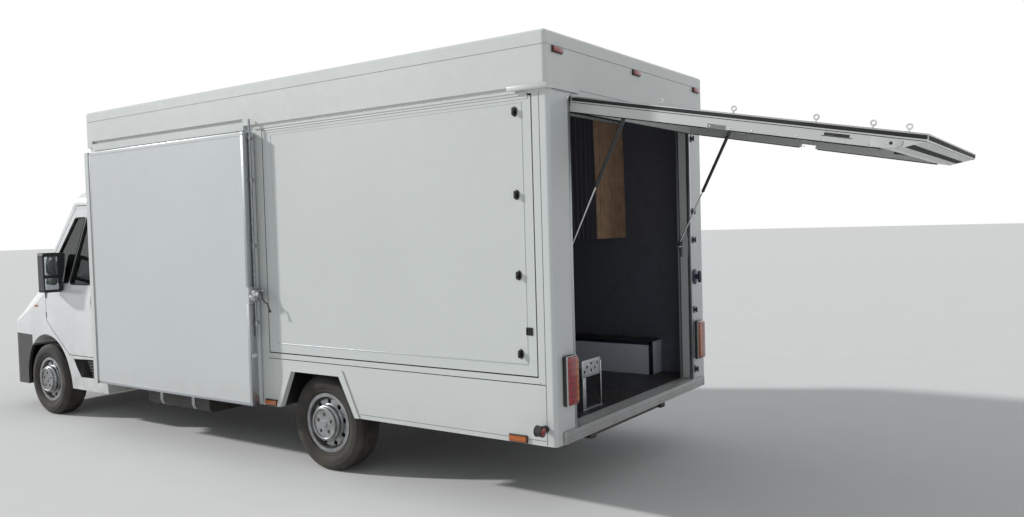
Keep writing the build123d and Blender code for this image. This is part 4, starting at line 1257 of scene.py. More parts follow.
@dataclass
class ServiceDoor(Assembly):
    """Edge trims, seal, lock rod clips and the lock of the side door."""

    body: str = "service_door"
    face: float = 1169.0
    y: Flat = (1196.0, 3240.0)
    z: Flat = (431.0, 2386.0)
    rod_x: float = 1121.0
    rod_y: float = 3254.0
    lock_z: float = 1222.0

    @piece(Stock.upright)
    def door_edge_trims(self) -> Obj:
        """Aluminium angles round the door's outer edges, broken at the lock."""
        f, (y0, y1), (z0, z1), lock = self.face, self.y, self.z, self.lock_z
        rows = [(f - 1, y0 + 2, z, f + 1.6, y1, z + 22) for z in (z0, z1 - 22)]
        for low, high in ((z0, lock - 60), (lock + 60, z1)):
            rows += [(f - 1, y1 - 24, low, f + 1.8, y1 + 1.4, high), (f - 60, y1 - 0.5, low, f + 1.8, y1 + 1.8, high)]
        return blocks(0.6, *rows, (f - 1, y0 + 1, z0, f + 1.6, y0 + 18, z1))

    @piece(Stock.bright)
    def door_trim_rivets(self) -> Obj:
        """Rivets of the rear and top edge trims."""
        up = row(screw_head((self.face + 1.6, self.y[1] - 12, 470), X, 3.4, 1.4), (0, 0, 208), 9)
        top = screw_head((self.face + 1.6, self.y[0] + 60, self.z[1] - 11), X, 3.4, 1.4)
        return join([up, row(top, (0, 213, 0), 8)])

    @piece(Stock.rubber)
    def door_seal(self) -> Obj:
        """Hollow rubber seal behind the door's frame."""
        loop = rounded(oblong(self.y[0] + 40, self.z[0] + 40, self.y[1] - 40, self.z[1] - 40), 40)
        return tube([(self.half_width + 5.5, y, z) for y, z in loop], 4.6, closed=True, straight=True)

    @piece(Stock.zinc)
    def lock_rod_clips(self) -> Obj:
        """Clips that hold the lock rod to the door's edge."""
        x, y = self.rod_x, self.y[1]
        parts = []
        for z in (1025, 1575, 2045, 2345):
            parts.append(hoop(8.2, 11.5, 0, 26, (x, self.rod_y, z - 13), Z, 24))
            for ear in (x - 26, x + 26):
                parts += [block(ear - 11, y + 0.5, z - 12, ear + 11, y + 3, z + 12, 0.8),
                          screw_head((ear, y + 3, z), Y, 4.0, 2.2)]
        return join(parts)

    @piece(Stock.bright)
    def door_lock_body(self) -> Obj:
        """Lock's cast body, with its cover plate, bosses and screws."""
        x, y, z = self.rod_x, self.y[1], self.lock_z
        return join([
            block(x - 34, y + 1, z - 50, x + 46, y + 7, z + 50, 2.5, 3),
            block(x - 30, y + 5, z - 40, x + 38, y + 44, z + 40, 8, 3),
            turned([(0, 30), (6, 31), (26, 26), (30, 20)], (x + 2, y + 40, z + 4), Y),
            turned([(0, 15), (18, 15), (21, 11)], (x + 32, y + 22, z - 12), (1, 0.3, 0), 28),
            turned([(0, 10), (52, 10), (56, 7)], (x - 20, y + 26, z + 26), (0, 1, 0.1), 20),
            *(screw_head((x + dx, y + 7, z + dz), Y, 4.4, 2.6) for dx in (-20, 36) for dz in (-38, 38)),
        ])

    @piece(Stock.strut)
    def door_lock_lever(self) -> Obj:
        """Cranked black lever that stands out behind the lock, with an eye at its end: partly the real lever, partly
        painted shadow, as its dark colour and long hooked run down follow the lever's shadow on the flap.
        """
        x, y, z = self.rod_x + 8, self.y[1] + 62, self.lock_z
        line = [(0, 0, 20), (0, 16, 30), (0, 26, 10), (2, 42, -26), (4, 74, -50), (4, 96, -54), (4, 104, -72),
                (4, 118, -104)]
        grip = tube([(x + dx, y + dy, z + dz) for dx, dy, dz in line], 5.6, fine=4)
        return join([grip, hoop(3.5, 9.5, 0, 9, (x - 1, y + 119, z - 108), X, 20)])

    @piece(Stock.leaf)
    def door_catch(self) -> Obj:
        """White clip low on the rear edge."""
        x, y = self.half_width, self.y[1]
        return join([block(x + 62, y + 1.6, 778, x + 92, y + 15, 806, 3, 3),
                     block(x + 58, y + 9, 784, x + 96, y + 19, 800, 2.4)])


@dataclass
class TailFlap(Assembly):
    """Fittings of the tail flap, drawn as it hangs shut and then swung open."""

    half_width: float = 839.0
    body: str = "tail_flap"
    axis_y: float = 5744.0
    axis_z: float = 2396.0
    length: float = 1890.0
    skin: float = 32.0
    depth: float = 85.0
    rail: float = 35.0
    opened: float = 78.6
    strut_z: float = 1480.0

    def __post_init__(self) -> None:
        """Work out the shut flap's outer face and its lower edge."""
        self.outer = self.axis_y - 1
        self.tip = self.axis_z - self.length

    def place(self, obj: Obj) -> Obj:
        """Swing a piece from the shut pose to the pose in which the flap stands."""
        swing = Matrix.Rotation(math.radians(self.opened), 4, "X")
        obj.data.transform(about(at(0, self.axis_y, self.axis_z), swing))
        return obj

    @piece(Stock.upright)
    def flap_edging(self) -> Obj:
        """Thin aluminium edging round the skin."""
        w, y, z, tip = self.half_width, self.outer, self.axis_z, self.tip + 1
        rows = []
        for s in (-1, 1):
            rows += [(s * (w - back), y - low, tip, s * (w + 1.6), y + 1.4, z - 30)
                     for back, low in ((26, 0.5), (0.5, 14))]
        return blocks(0.5, *rows, (-w, y - 0.5, tip - 0.5, w, y + 1.4, tip + 26),
                      (-w + 14, y - 0.5, z - 44, w - 14, y + 1.2, z - 8))

    @piece(Stock.rubber)
    def flap_seal(self) -> Obj:
        """Dark strips of painted shade on the skin's foot and side edges, the skin's dark joint with the side rails,
        and the lip seal with a gap at each strut.
        """
        w, y, z, tip = self.half_width, self.outer - self.skin, self.axis_z, self.tip
        # Painted shade: a dark strip on the skin's foot edge.
        parts = [block(-w + 2, self.outer - 26, tip - 0.3, w - 2, self.outer - 5, tip + 2, 0.8)]
        # On each side: the dark joint with the rail, and a dark strip of painted shade on the skin's side edge.
        for s in (-1, 1):
            parts += [block(s * (w - 2), y0, tip + 6, s * (w + 1.8), y1, z - 12, 0.8)
                      for y0, y1 in ((y - 2.5, y + 0.5), (self.outer - 24, self.outer - 5))]
        lip = self.outer - self.depth - 2.2
        for s in (-1, 1):
            for run in ((z - 22, self.strut_z + 80), (self.strut_z - 40, tip + 196)):
                parts.append(tube([(s * (w - 18), lip, end) for end in run], 3.4, straight=True))
        parts.append(tube([(s * (w - 18), lip, z - 22) for s in (-1, 1)], 3.4, straight=True))
        return join(parts)

    @piece(Stock.bright)
    def flap_rivets(self) -> Obj:
        """Rivets along both rails' lower edges and the hinge leaf's screws."""
        side = screw_head((self.half_width, self.outer - self.depth + 9, self.axis_z - 860), X, 4.2, 1.6)
        side = both(row(side, (0, 0, -112), 7))
        top = screw_head((-780, self.outer + 1, self.axis_z - 27), Y, 4.6, 1.6)
        return join([side, row(top, (130, 0, 0), 12)])

    @piece(Stock.strut, Copies.BOTH)
    def flap_latch_cases(self) -> Obj:
        """Black latch cases that show in the slots of the side rails."""
        w, y, z = self.half_width, self.outer, self.axis_z
        return join([block(w - 30, y - 58, z - 1556, w - 4, y - 40, z - 1432, 1.5),
                     turned([(0, 7), (26, 7)], (w - 5.5, y - 49, z - 1508), Z, 20),
                     block(w - 1, y - 60, z - 1566, w + 0.8, y - 56.5, z - 1422, 0.4)])

    @piece(Stock.tail, Copies.BOTH)
    def flap_end_caps(self) -> Obj:
        """Cast end caps of the side rails, each with its bolt hole."""
        w, y, z = self.half_width, self.outer, self.tip + 130
        back = y - self.depth + 1
        shape = [(back, z + 108), (back, z + 4), (y - 64, z - 26), (y - 40, z - 26), (y - 36, z + 108)]
        cap = prism(rounded(shape, 6, 2), "x", w - 1, w + 3, 1.0)
        return cut(cap, turned([(0, 9), (12, 9)], (w - 6, y - 58, z + 22), X, 24))

    @piece(Stock.rubber, Copies.BOTH)
    def flap_cap_bolts(self) -> Obj:
        """Dark sockets in the end caps."""
        spot = (self.half_width - 0.5, self.outer - 58, self.tip + 152)
        return turned([(0, 7.5), (1.5, 7.5), (1.8, 4)], spot, X, 6)

    @piece(Stock.rubber)
    def flap_foot_lining(self) -> Obj:
        """Dark strip along the bevelled foot channel: painted shade that stands for the dark inside of a slot."""
        w, y, tip = self.half_width, self.outer, self.tip
        slot = [(y - 69.3, tip + 91.7), (y - 54.6, tip + 57.7), (y - 52.5, tip + 58.6), (y - 67.2, tip + 92.6)]
        return prism(slot, "x", -w + 16, w - 16)

    @piece(Stock.bright)
    def flap_hooks(self) -> Obj:
        """Five hooks that stand on the outer face, each a foot, a stem and an eye."""
        x, y, z = 800.0, self.outer + 1, self.axis_z - 545
        foot = block(x - 11, y - 1, z - 14, x + 11, y + 3, z + 14, 1.5)
        stem = turned([(0, 4), (13, 4), (15, 0)], (x, y + 2, z), Y, 14)
        eye = hoop(8.5, 15, -2.8, 2.8, (x, y + 26, z), (1, 0.2, 0), 24)
        return spread(join([foot, stem, eye]), (0, 0, -1), (412, 829, 1093, 1250))

    @piece(Stock.tail)
    def flap_lining(self) -> Obj:
        """Inner lining with its three battens."""
        w, y, top = self.half_width - self.rail - 3, self.outer - self.skin, self.axis_z - 52
        board = block(-w, y - 3, self.tip + 192, w, y + 0.5, top, 0.6)
        return join([board, *(block(-w, y - 14, z - 18, w, y - 2, z + 18, 1.6)
                              for z in (top - 430, top - 860, top - 1290))])


@dataclass
class TailPortal(Assembly):
    """Door stops, seals, plates, sill ribs and inner fittings of the tail opening."""

    jamb: float = 846.0
    head: float = 2398.0
    strut_foot: Flat = (5664.0, 1480.0)

    @piece(Stock.upright, Copies.BOTH)
    def jamb_stops(self) -> Obj:
        """Grooved aluminium stop profiles up both jambs."""
        j, y = self.jamb, self.rear - 100
        teeth = [(j + reach, y + d) for d, reach in ((0, -9), (2.5, -9), (2.5, -5), (5.5, -5), (5.5, -9), (8, -9),
                                                     (8, -5), (11, -5), (11, -9), (13.5, -9))]
        return prism([(j + 1, y), *teeth, (j + 1, y + 13.5)], "z", self.floor, self.head)

    @piece(Stock.upright, Copies.BOTH)
    def portal_edge_strips(self) -> Obj:
        """Thin edge strips on the portal's rear face, beside the opening."""
        return block(self.jamb - 0.5, self.rear - 26, self.floor, self.jamb + 24, self.rear + 1.6, self.head, 0.7)

    @piece(Stock.rubber)
    def portal_seal(self) -> Obj:
        """Rubber bulb seal up the jambs and across the head."""
        j, y, low, high = self.jamb - 4, self.rear - 85.5, self.floor + 8, self.head - 10
        return tube([(x, y, z) for x, z in ((-j, low), (-j, high), (j, high), (j, low))], 3.6, straight=True)

    @piece(Stock.gloss)
    def post_turn_buttons(self) -> Obj:
        """Turn buttons down the right post."""
        return join([turn_button((-890, self.rear, z), Y, 0.95) for z in (2274, 1737, 1528, 1010, 567)])

    @piece(Stock.blue)
    def post_turn_handle(self) -> Obj:
        """Larger blue-black turn handle on the right post."""
        return turn_button((-905, self.rear, 1254), Y, 2.0)

    @piece(Stock.zinc, Copies.BOTH)
    def strut_foot_plates(self) -> Obj:
        """Light plates behind the struts' feet, with their screws."""
        j, (y, z) = self.jamb, self.strut_foot
        return join([block(j - 3.1, y - 13, z - 77, j - 1.8, y + 13, z + 68, 0.5),
                     *(screw_head((j - 3.1, y, z + dz), (-1, 0, 0), 4.2, 0.9) for dz in (-60, -38, 52, 30))])

    @piece(Stock.extrusion)
    def sill_ribs(self) -> Obj:
        """Lengthwise ribs on the sill's top."""
        j, y, z = self.jamb, self.rear, self.floor
        rib = block(-j + 12, y - 92, z - 0.4, j - 12, y - 86, z + 1.6, 0.6)
        return join([row(rib, (0, 13, 0), 8), block(-j + 4, y + 17, z - 0.5, j - 4, y + 21.6, z + 1.4, 0.5)])

    @piece(Stock.extrusion, Copies.BOTH)
    def sill_ends(self) -> Obj:
        """Sill's end plates with two screws each."""
        x, y = 1000.0, self.rear
        return join([block(x - 0.5, y + 0.5, 432, x + 2.4, y + 21.5, 499.5, 0.8),
                     *(screw_head((x + 2.2, y + 11, z), X) for z in (446, 486))])

    @piece(Stock.zinc)
    def floor_bracket(self) -> Obj:
        """Galvanised bracket that stands inside the left of the opening, with its holes."""
        x0, x1, y, z = 262.0, 492.0, 5566.0, self.floor
        plate = block(x0, y, 705, x1, y + 4, 812, 0.8)
        spots = ((34, 780), (66, 752), (112, 784), (112, 742), (166, 768), (196, 740))
        cut(plate, join([turned([(0, 10), (16, 10)], (x0 + dx, y - 6, high), Y, 20) for dx, high in spots]))
        return join([plate, block(x1 - 48, y - 2, 502, x1 - 8, y + 4, 712, 0.8),
                     block(x0 + 4, y - 30, z, x1 - 4, y + 6, z + 5, 0.8)])

    @piece(Stock.bright)
    def floor_bracket_post(self) -> Obj:
        """Bracket's bright upright on its round foot."""
        return join([block(255, 5564, self.floor, 267, 5576, 792, 2.0),
                     turned([(0, 13), (3, 13), (4, 10)], (261, 5570, self.floor + 0.2), Z, 24)])


@dataclass
class GasStruts(Assembly):
    """Collars and sockets of the gas struts, each turned about the strut's line."""

    pivot_x: float = 785.0
    foot: Flat = (5664.0, 1480.0)
    axis: Flat = (5744.0, 2396.0)
    pin_depth: float = 55.0
    pin_s: float = 340.0
    opened: float = 78.6
    tube_length: float = 444.0

    def __post_init__(self) -> None:
        """Work out the upper pin, the direction to the foot and how far it is."""
        c, s = math.cos(math.radians(self.opened)), math.sin(math.radians(self.opened))
        dy, dz = -1 - self.pin_depth, -self.pin_s
        self.pin = Vector((self.pivot_x, self.axis[0] + dy * c - dz * s, self.axis[1] + dy * s + dz * c))
        run = Vector((self.pivot_x, *self.foot)) - self.pin
        self.way, self.reach = run.normalized(), run.length

    def on_line(self, profile: Sequence[Flat], start: float) -> Obj:
        """Turn a ring about the strut's line, from a distance below the upper pin."""
        return turned(profile, tuple(self.pin + self.way * start), tuple(self.way), 24, ring=True)

    @piece(Stock.gloss, Copies.PAIR, "strut_tube")
    def strut_collar(self) -> Obj:
        """Black collar at the tube's upper end."""
        return self.on_line([(0, 6.4), (0, 11.4), (60, 11.6), (84, 11.6), (84, 6.4)], 20)

    @piece(Stock.gloss, Copies.PAIR, "strut_tube")
    def strut_gland(self) -> Obj:
        """Gland from which the rod comes out."""
        return self.on_line([(0, 5.6), (0, 11.8), (10, 11.8), (14, 9), (14, 5.6)], self.tube_length - 9)

    @piece(Stock.gloss, Copies.PAIR, "strut_rod")
    def strut_socket(self) -> Obj:
        """Ball socket at the rod's end."""
        return self.on_line([(0, 5.2), (0, 8.5), (26, 8.5), (34, 6.4), (34, 5.2)], self.reach - 44)


@dataclass
class Interior(Assembly):
    """Locker trims, wall battens, skirting and curtain rings."""

    wall: float = 1034.0
    locker_x: float = 857.0
    locker_y: Flat = (4260.0, 5396.0)
    locker_top: float = 750.0

    @piece(Stock.dark_metal)
    def locker_angles(self) -> Obj:
        """Dark angles along the locker's top edge and its rear corner."""
        x, (y0, y1), z, floor = -self.locker_x, self.locker_y, self.locker_top, self.floor
        return blocks(0.6, (x - 24, y0, z - 0.5, x + 2, y1 + 2, z + 2), (x - 0.5, y0, z - 24, x + 2, y1 + 2, z + 2),
                      (x - 0.5, y1 - 22, floor, x + 2, y1 + 2, z), (x - 22, y1 - 0.5, floor, x + 2, y1 + 2, z))

    @piece(Stock.ply)
    def locker_lid(self) -> Obj:
        """Lid board with its finger hole."""
        (y0, y1), z = self.locker_y, self.locker_top
        lid = block(-self.wall + 4, y0 + 4, z - 0.3, -self.locker_x - 24, y1 - 3, z + 9, 1.2)
        return cut(lid, turned([(0, 15), (30, 15)], (-self.locker_x - 60, 4830, z - 8), Z, 24))

    @piece(Stock.trim)
    def wall_battens(self) -> Obj:
        """Upright joint covers on the right wall's and the front wall's linings."""
        strip = block(-self.wall - 0.4, 2230, 760, -self.wall + 4, 2270, 2436, 1.0)
        front = both(block(330, 1071.5, self.floor, 370, 1075, 2436, 1.0))
        return join([row(strip, (0, 1000, 0), 2), front])

    @piece(Stock.upright)
    def skirting(self) -> Obj:
        """Aluminium skirting along the walls."""
        x, z, top = self.wall, self.floor, 580
        return blocks(0.8, (-x - 0.4, 1075, z, -x + 3, 3385, top), (x - 3, 3250, z, x + 0.4, 3385, top),
                      (x - 3, 4216, z, x + 0.4, 5630, top), (-x, 1071, z, x, 1074, top))

    @piece(Stock.bright)
    def curtain_rings(self) -> Obj:
        """Rings that carry the curtains on their rail."""
        return row(hoop(13, 15.4, -1.2, 1.2, (-1005, 5100, 2448), X, 20), (71, 0, 0), 18)


@dataclass
class SmallLamps(Assembly):
    """Frames of the side markers, and the lenses and rubbers of the corner lamps."""

    stations: Flat = (3330.0, 5480.0)
    arm: float = 64.0
    corner_y: float = 5668.0
    corner_z: float = 524.0

    @piece(Stock.rubber, Copies.BOTH)
    def marker_frames(self) -> Obj:
        """Dark frames round the amber markers."""
        w = self.half_width
        return join([cut(block(w - 0.5, y - 64, 428, w + 9, y + 64, 472, 3),
                         block(w - 4, y - 57.6, 434.4, w + 20, y + 57.6, 465.6)) for y in self.stations])

    def lens(self, towards: int) -> Obj:
        """Turn the lens on one face of the left corner lamp."""
        dome = [(-2, 23), (2, 23.5), (5, 20), (8, 12), (9, 0)]
        return turned(dome, (self.half_width + self.arm, self.corner_y + towards * 22, self.corner_z), (0, towards, 0))

    @piece(Stock.red, Copies.BOTH)
    def corner_lens_red(self) -> Obj:
        """Red lenses that look rearwards."""
        return self.lens(1)

    @piece(Stock.clear, Copies.BOTH)
    def corner_lens_clear(self) -> Obj:
        """Clear lenses that look forwards."""
        return self.lens(-1)

    @piece(Stock.rubber, Copies.BOTH)
    def corner_lamp_beads(self) -> Obj:
        """Rubber beads round the corner lamps, and their arms' boots."""
        w, y, z = self.half_width, self.corner_y, self.corner_z
        bead = turned([(-3, 27), (-3, 31), (0, 32.4), (3, 31), (3, 27)], (w + self.arm, y - 20, z), Y, 36, ring=True)
        boot = [(0, 8), (0, 21), (6, 20), (10, 15), (14, 17), (18, 13), (18, 8)]
        return join([row(bead, (0, 40, 0), 1), turned(boot, (w, y, z), X, 28, ring=True)])


@dataclass
class CabTrim(Assembly):
    """Window rubbers, handles, mirror glasses, lamps' insides, wipers and step treads of the cab."""

    pane: tuple = ((422, 1246), (800, 1246), (874, 1322), (874, 1901), (611, 1901))
    quarter: tuple = ((94, 1264), (405, 1256), (573, 1856), (396, 1856), (94, 1418))
    mirror: float = 1178.0
    handle_y: float = 855.0
    plate_y: float = -924.0
    inwards: Point = (-1, 0, 0)

    def __post_init__(self) -> None:
        """Find the left door's face at the handle, and the turn that leans the handle with it."""
        low, seat, high = (surface("cab_door_left", (1300, self.handle_y, z), self.inwards)
                           for z in (1040, 1127, 1210))
        self.face = seat.x
        lean = math.atan2(low.x - high.x, high.z - low.z)
        self.leaned = about(at(*seat), Matrix.Rotation(-lean, 4, "Y"))

    @piece(Stock.rubber, Copies.PAIR, "cab_door")
    def window_rubber(self) -> Obj:
        """Rubber round both panes of the left door."""
        parts = []
        for outline, radius in ((self.pane, 46), (self.quarter, 22)):
            starts = [(1300, y, z) for y, z in evenly(rounded(outline, radius), 60)]
            parts.append(tube(laid("cab_door_left", starts, self.inwards, -1.0), 6.0, closed=True, straight=True))
        return join(parts)

    @piece(Stock.plastic, Copies.PAIR, "cab_door")
    def handle_recess(self) -> Obj:
        """Recess plate of the left door's upright handle."""
        y, x = self.handle_y, self.face
        plate = prism(rounded(oblong(y - 29, 1030, y + 29, 1224), 28, 6), "x", x - 9, x + 6, 1.6)
        cut(plate, prism(rounded(oblong(y - 21, 1044, y + 21, 1210), 20, 5), "x", x + 3, x + 10))
        plate.data.transform(self.leaned)
        return plate

    @piece(Stock.plastic, Copies.PAIR, "cab_door")
    def handle_grip(self) -> Obj:
        """Grip of the left door's handle."""
        line = ((1, 1052), (16, 1064), (20, 1127), (16, 1190), (1, 1202))
        grip = tube([(self.face + dx, self.handle_y, z) for dx, z in line], 8.0, fine=4)
        grip.data.transform(self.leaned)
        return grip

    @piece(Stock.mirror, Copies.PAIR, "cab_door")
    def mirror_glass(self) -> Obj:
        """Upper and lower glass of the left mirror."""
        m = self.mirror
        return join([prism(rounded(oblong(m - 141, z0, m - 19, z1), radius), "y", 344.5, 349.5, 1.2)
                     for z0, z1, radius in ((1337, 1507, 14), (1203, 1309, 12))])

    @piece(Stock.clear, Copies.PAIR, "cab_door")
    def mirror_repeater(self) -> Obj:
        """Light strip that wraps round the mirror's outer corner."""
        line = ((-74, 206), (-44, 207), (-16, 226), (-7, 262), (-6, 290))
        return tube([(self.mirror + dx, y, 1492) for dx, y in line], 5.0)

    @piece(Stock.gloss, Copies.PAIR, "cab_door")
    def mirror_seam(self) -> Obj:
        """Joint line between the mirror's housing and its cap."""
        line = ((-196, 352), (-100, 353), (-7, 352), (-2.2, 338), (-2.2, 270))
        return tube([(self.mirror + dx, y, 1322) for dx, y in line], 1.8, straight=True)

    @piece(Stock.amber, Copies.BOTH)
    def wing_repeaters(self) -> Obj:
        """Small lamps on the wings."""
        x = surface("cab_shell", (1300, -182, 1030), self.inwards).x
        outline = rounded([(-216, 1018), (-148, 1022), (-148, 1040), (-216, 1042)], 8, 3)
        return prism(outline, "x", x - 6, x + 4, 2.5, 3)

    @piece(Stock.plastic, Copies.BOTH)
    def step_treads(self) -> Obj:
        """Ribs in the step ports, whose front edge slopes."""
        return blocks(2.0, *((893, 500 + (563 - z) * 110 / 161, z, 903, 838, z + 9) for z in range(424, 529, 26)))

    @piece(Stock.rod, Copies.BOTH)
    def lamp_reflectors(self) -> Obj:
        """Reflector bowls behind the headlamps' covers."""
        bowl = ((0, 0), (3, 15), (18, 38), (44, 52), (46, 52), (46, 49), (20, 34), (6, 0))
        parts = []
        for x, z, size in ((636, 884, 0.8), (738, 922, 1.0), (836, 934, 0.8)):
            reach = 52 * size
            over = [surface("headlamps", (x + dx * reach, -1300, z + dz * reach), Y)
                    for dx, dz in ((0, 1), (0.7, 0.7), (-0.7, 0.7), (1, 0))]
            y = max(spot.y for spot in over if spot is not None) + 12 + 46 * size
            parts.append(turned([(a * size, r * size) for a, r in bowl], (x, y, z), (0.12, -1, 0.08), 36))
        return join(parts)

    @piece(Stock.trim, Copies.BOTH)
    def lamp_shells(self) -> Obj:
        """Dark shells behind the reflectors."""
        outline = [(560, 836), (872, 858), (892, 966), (800, 1008), (604, 922)]
        return prism(rounded(outline, 18, 3), "y", -545, -508, 4.0)

    @piece(Stock.rubber)
    def wipers(self) -> Obj:
        """Both wipers, parked along the screen's foot."""
        parts = []
        for x0, x1, pivot in ((-640, -40, -45), (30, 630, 630)):
            starts = [(x0 + (x1 - x0) * t / 6, -900, 1474 + 8 * t) for t in range(7)]
            blade = laid("windscreen", starts, Y, 10)
            hub, grip = surface("windscreen", (pivot, -900, 1462), Y), blade[3]
            arm = [hub + Vector((0, -20, -4)), (hub + grip) / 2 + Vector((0, -30, 12)), grip + Vector((0, -6, 0))]
            parts += [tube(blade, 4.5, straight=True), tube(arm, 5.5),
                      turned([(0, 13), (16, 12), (20, 8)], (hub.x, hub.y, hub.z - 6), (0, -1, 0.4), 20)]
        return join(parts)

    @piece(Stock.rubber)
    def screen_rubber(self) -> Obj:
        """Black band round the windscreen's edge."""
        outline = rounded([(-790, 1455), (790, 1455), (713, 2016), (-713, 2016)], 40)
        starts = [(x, -900, z) for x, z in evenly(outline, 90)]
        return tube(laid("windscreen", starts, Y, -1.5), 7.0, closed=True, straight=True)

    @piece(Stock.plastic)
    def plate_holder(self) -> Obj:
        """Number plate's holder across the bumper's mouth."""
        return prism(rounded(oblong(-268, 412, 268, 534), 6, 2), "y", self.plate_y + 2, self.plate_y + 20, 1.0)

    @piece(Stock.plate)
    def blank_plate(self) -> Obj:
        """Blank number plate."""
        return prism(rounded(oblong(-260, 418, 260, 528), 8, 3), "y", self.plate_y, self.plate_y + 3, 0.5)

    @piece(Stock.plastic)
    def bumper_mouth_bars(self) -> Obj:
        """Upright bars across the bumper's mouth."""
        return row(block(-424, -902, 392, -418, -884, 558, 1.2), (70.2, 0, 0), 12)


@dataclass
class CabSeat:
    """One seat: pan, padded cushion and back, and padded head restraints on steel posts."""

    name: str
    x: Flat
    heads: tuple[float, ...]
    welt: float = 5.0
    border: float = 92.0

    def sewn(self, x: float, *crossings: float) -> bool:
        """Tell whether a point lies on a seam.

        Args:
            x: its station across the seat.
            *crossings: how far it is from each cross seam.

        Returns:
            True on a lengthwise seam, or on a cross seam between the borders.
        """
        x0, x1 = self.x
        seams = [x0 + 92, x1 - 92] if len(self.heads) == 1 else [(x0 + x1) / 2, x0 + 84, x1 - 84]
        crossed = min(abs(d) for d in crossings) < self.welt and min(abs(x - x0), abs(x - x1)) > self.border
        return crossed or min(abs(x - seam) for seam in seams) < self.welt

    def pan(self) -> Obj:
        """Make the moulded box under the cushion, with its slide rails and its knob."""
        x0, x1 = self.x
        return join([prism(rounded(oblong(x0 + 46, 486, x1 - 46, 854), 30), "z", 640, 848, 6, 3),
                     *(block(x, 500, 600, x + 34, 850, 642, 3) for x in (x0 + 70, x1 - 104)),
                     turned([(0, 26), (14, 24), (18, 12)], (x1 - 14, 850, 930), X, 24)])

    def cushion(self) -> Obj:
        """Make the cushion, swollen between its seams."""
        x0, x1 = self.x
        outline = [(x0 + 14, 416), (x1 - 14, 416), (x1 - 16, 862), (x0 + 16, 862)]

        def pinned(co: Vector) -> bool:
            """Tell whether a point is held: on the pan or on a seam."""
            x, y = co.x / MM, co.y / MM + MIDDLE_Y
            return co.z < 0.875 or (co.z > 0.945 and self.sewn(x, y - 560))

        return puff(prism(rounded(outline, 50, 5), "z", 862, 958, 26, 4), pinned)

    def back(self) -> Obj:
        """Make the backrest, swollen between its seams."""
        side = [(822, 1000), (898, 1000), (956, 1540), (900, 1540)]

        def pinned(co: Vector) -> bool:
            """Tell whether a point is held: on the shell behind or on a seam."""
            x, y, z = co.x / MM, co.y / MM + MIDDLE_Y, co.z / MM
            share = (z - 1000) / 540
            front = y < 822 + 78 * share + 12
            return y > 898 + 58 * share - 12 or (front and self.sewn(x, z - 1180, z - 1400))

        return puff(prism(side, "x", self.x[0] + 14, self.x[1] - 14, 26, 4), pinned)

    def restraints(self) -> Obj:
        """Make the head restraints' pads."""
        x = self.heads[0]
        pad = prism([(906, 1590), (962, 1590), (972, 1724), (918, 1724)], "x", x - 116, x + 116, 22, 4)
        return spread(puff(pad, lambda co: co.z < 1.596, 12.0), X, [head - x for head in self.heads[1:]])

    def posts(self) -> Obj:
        """Make the bright posts of the head restraints."""
        places = [head + dx for head in self.heads for dx in (-62, 62)]
        return join([tube([(x, 934, 1545), (x, 940, 1600)], 6.0, straight=True) for x in places])

    def piping(self) -> Obj:
        """Make the sewn piping round the cushion's top edge."""
        x0, x1 = self.x
        line = rounded([(x0 + 20, 422), (x1 - 20, 422), (x1 - 22, 856), (x0 + 22, 856)], 56, 5)
        return tube([(x, y, 953) for x, y in evenly(line, 70)], 3.0, closed=True)

    def build(self, replaced: str | None = None) -> None:
        """Build and dress the seat; its cushion may replace the plain CAD seats."""
        finish(self.pan(), f"{self.name}_pan", "vehicle", Stock.trim)
        for part, obj in (("cushion", self.cushion()), ("back", self.back()), ("heads", self.restraints())):
            finish(obj, f"{self.name}_{part}", "vehicle", Stock.seat, 70)
            if replaced and part == "cushion":
                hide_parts(replaced)
        finish(self.posts(), f"{self.name}_posts", "vehicle", Stock.rod)
        finish(self.piping(), f"{self.name}_piping", "vehicle", Stock.rubber)


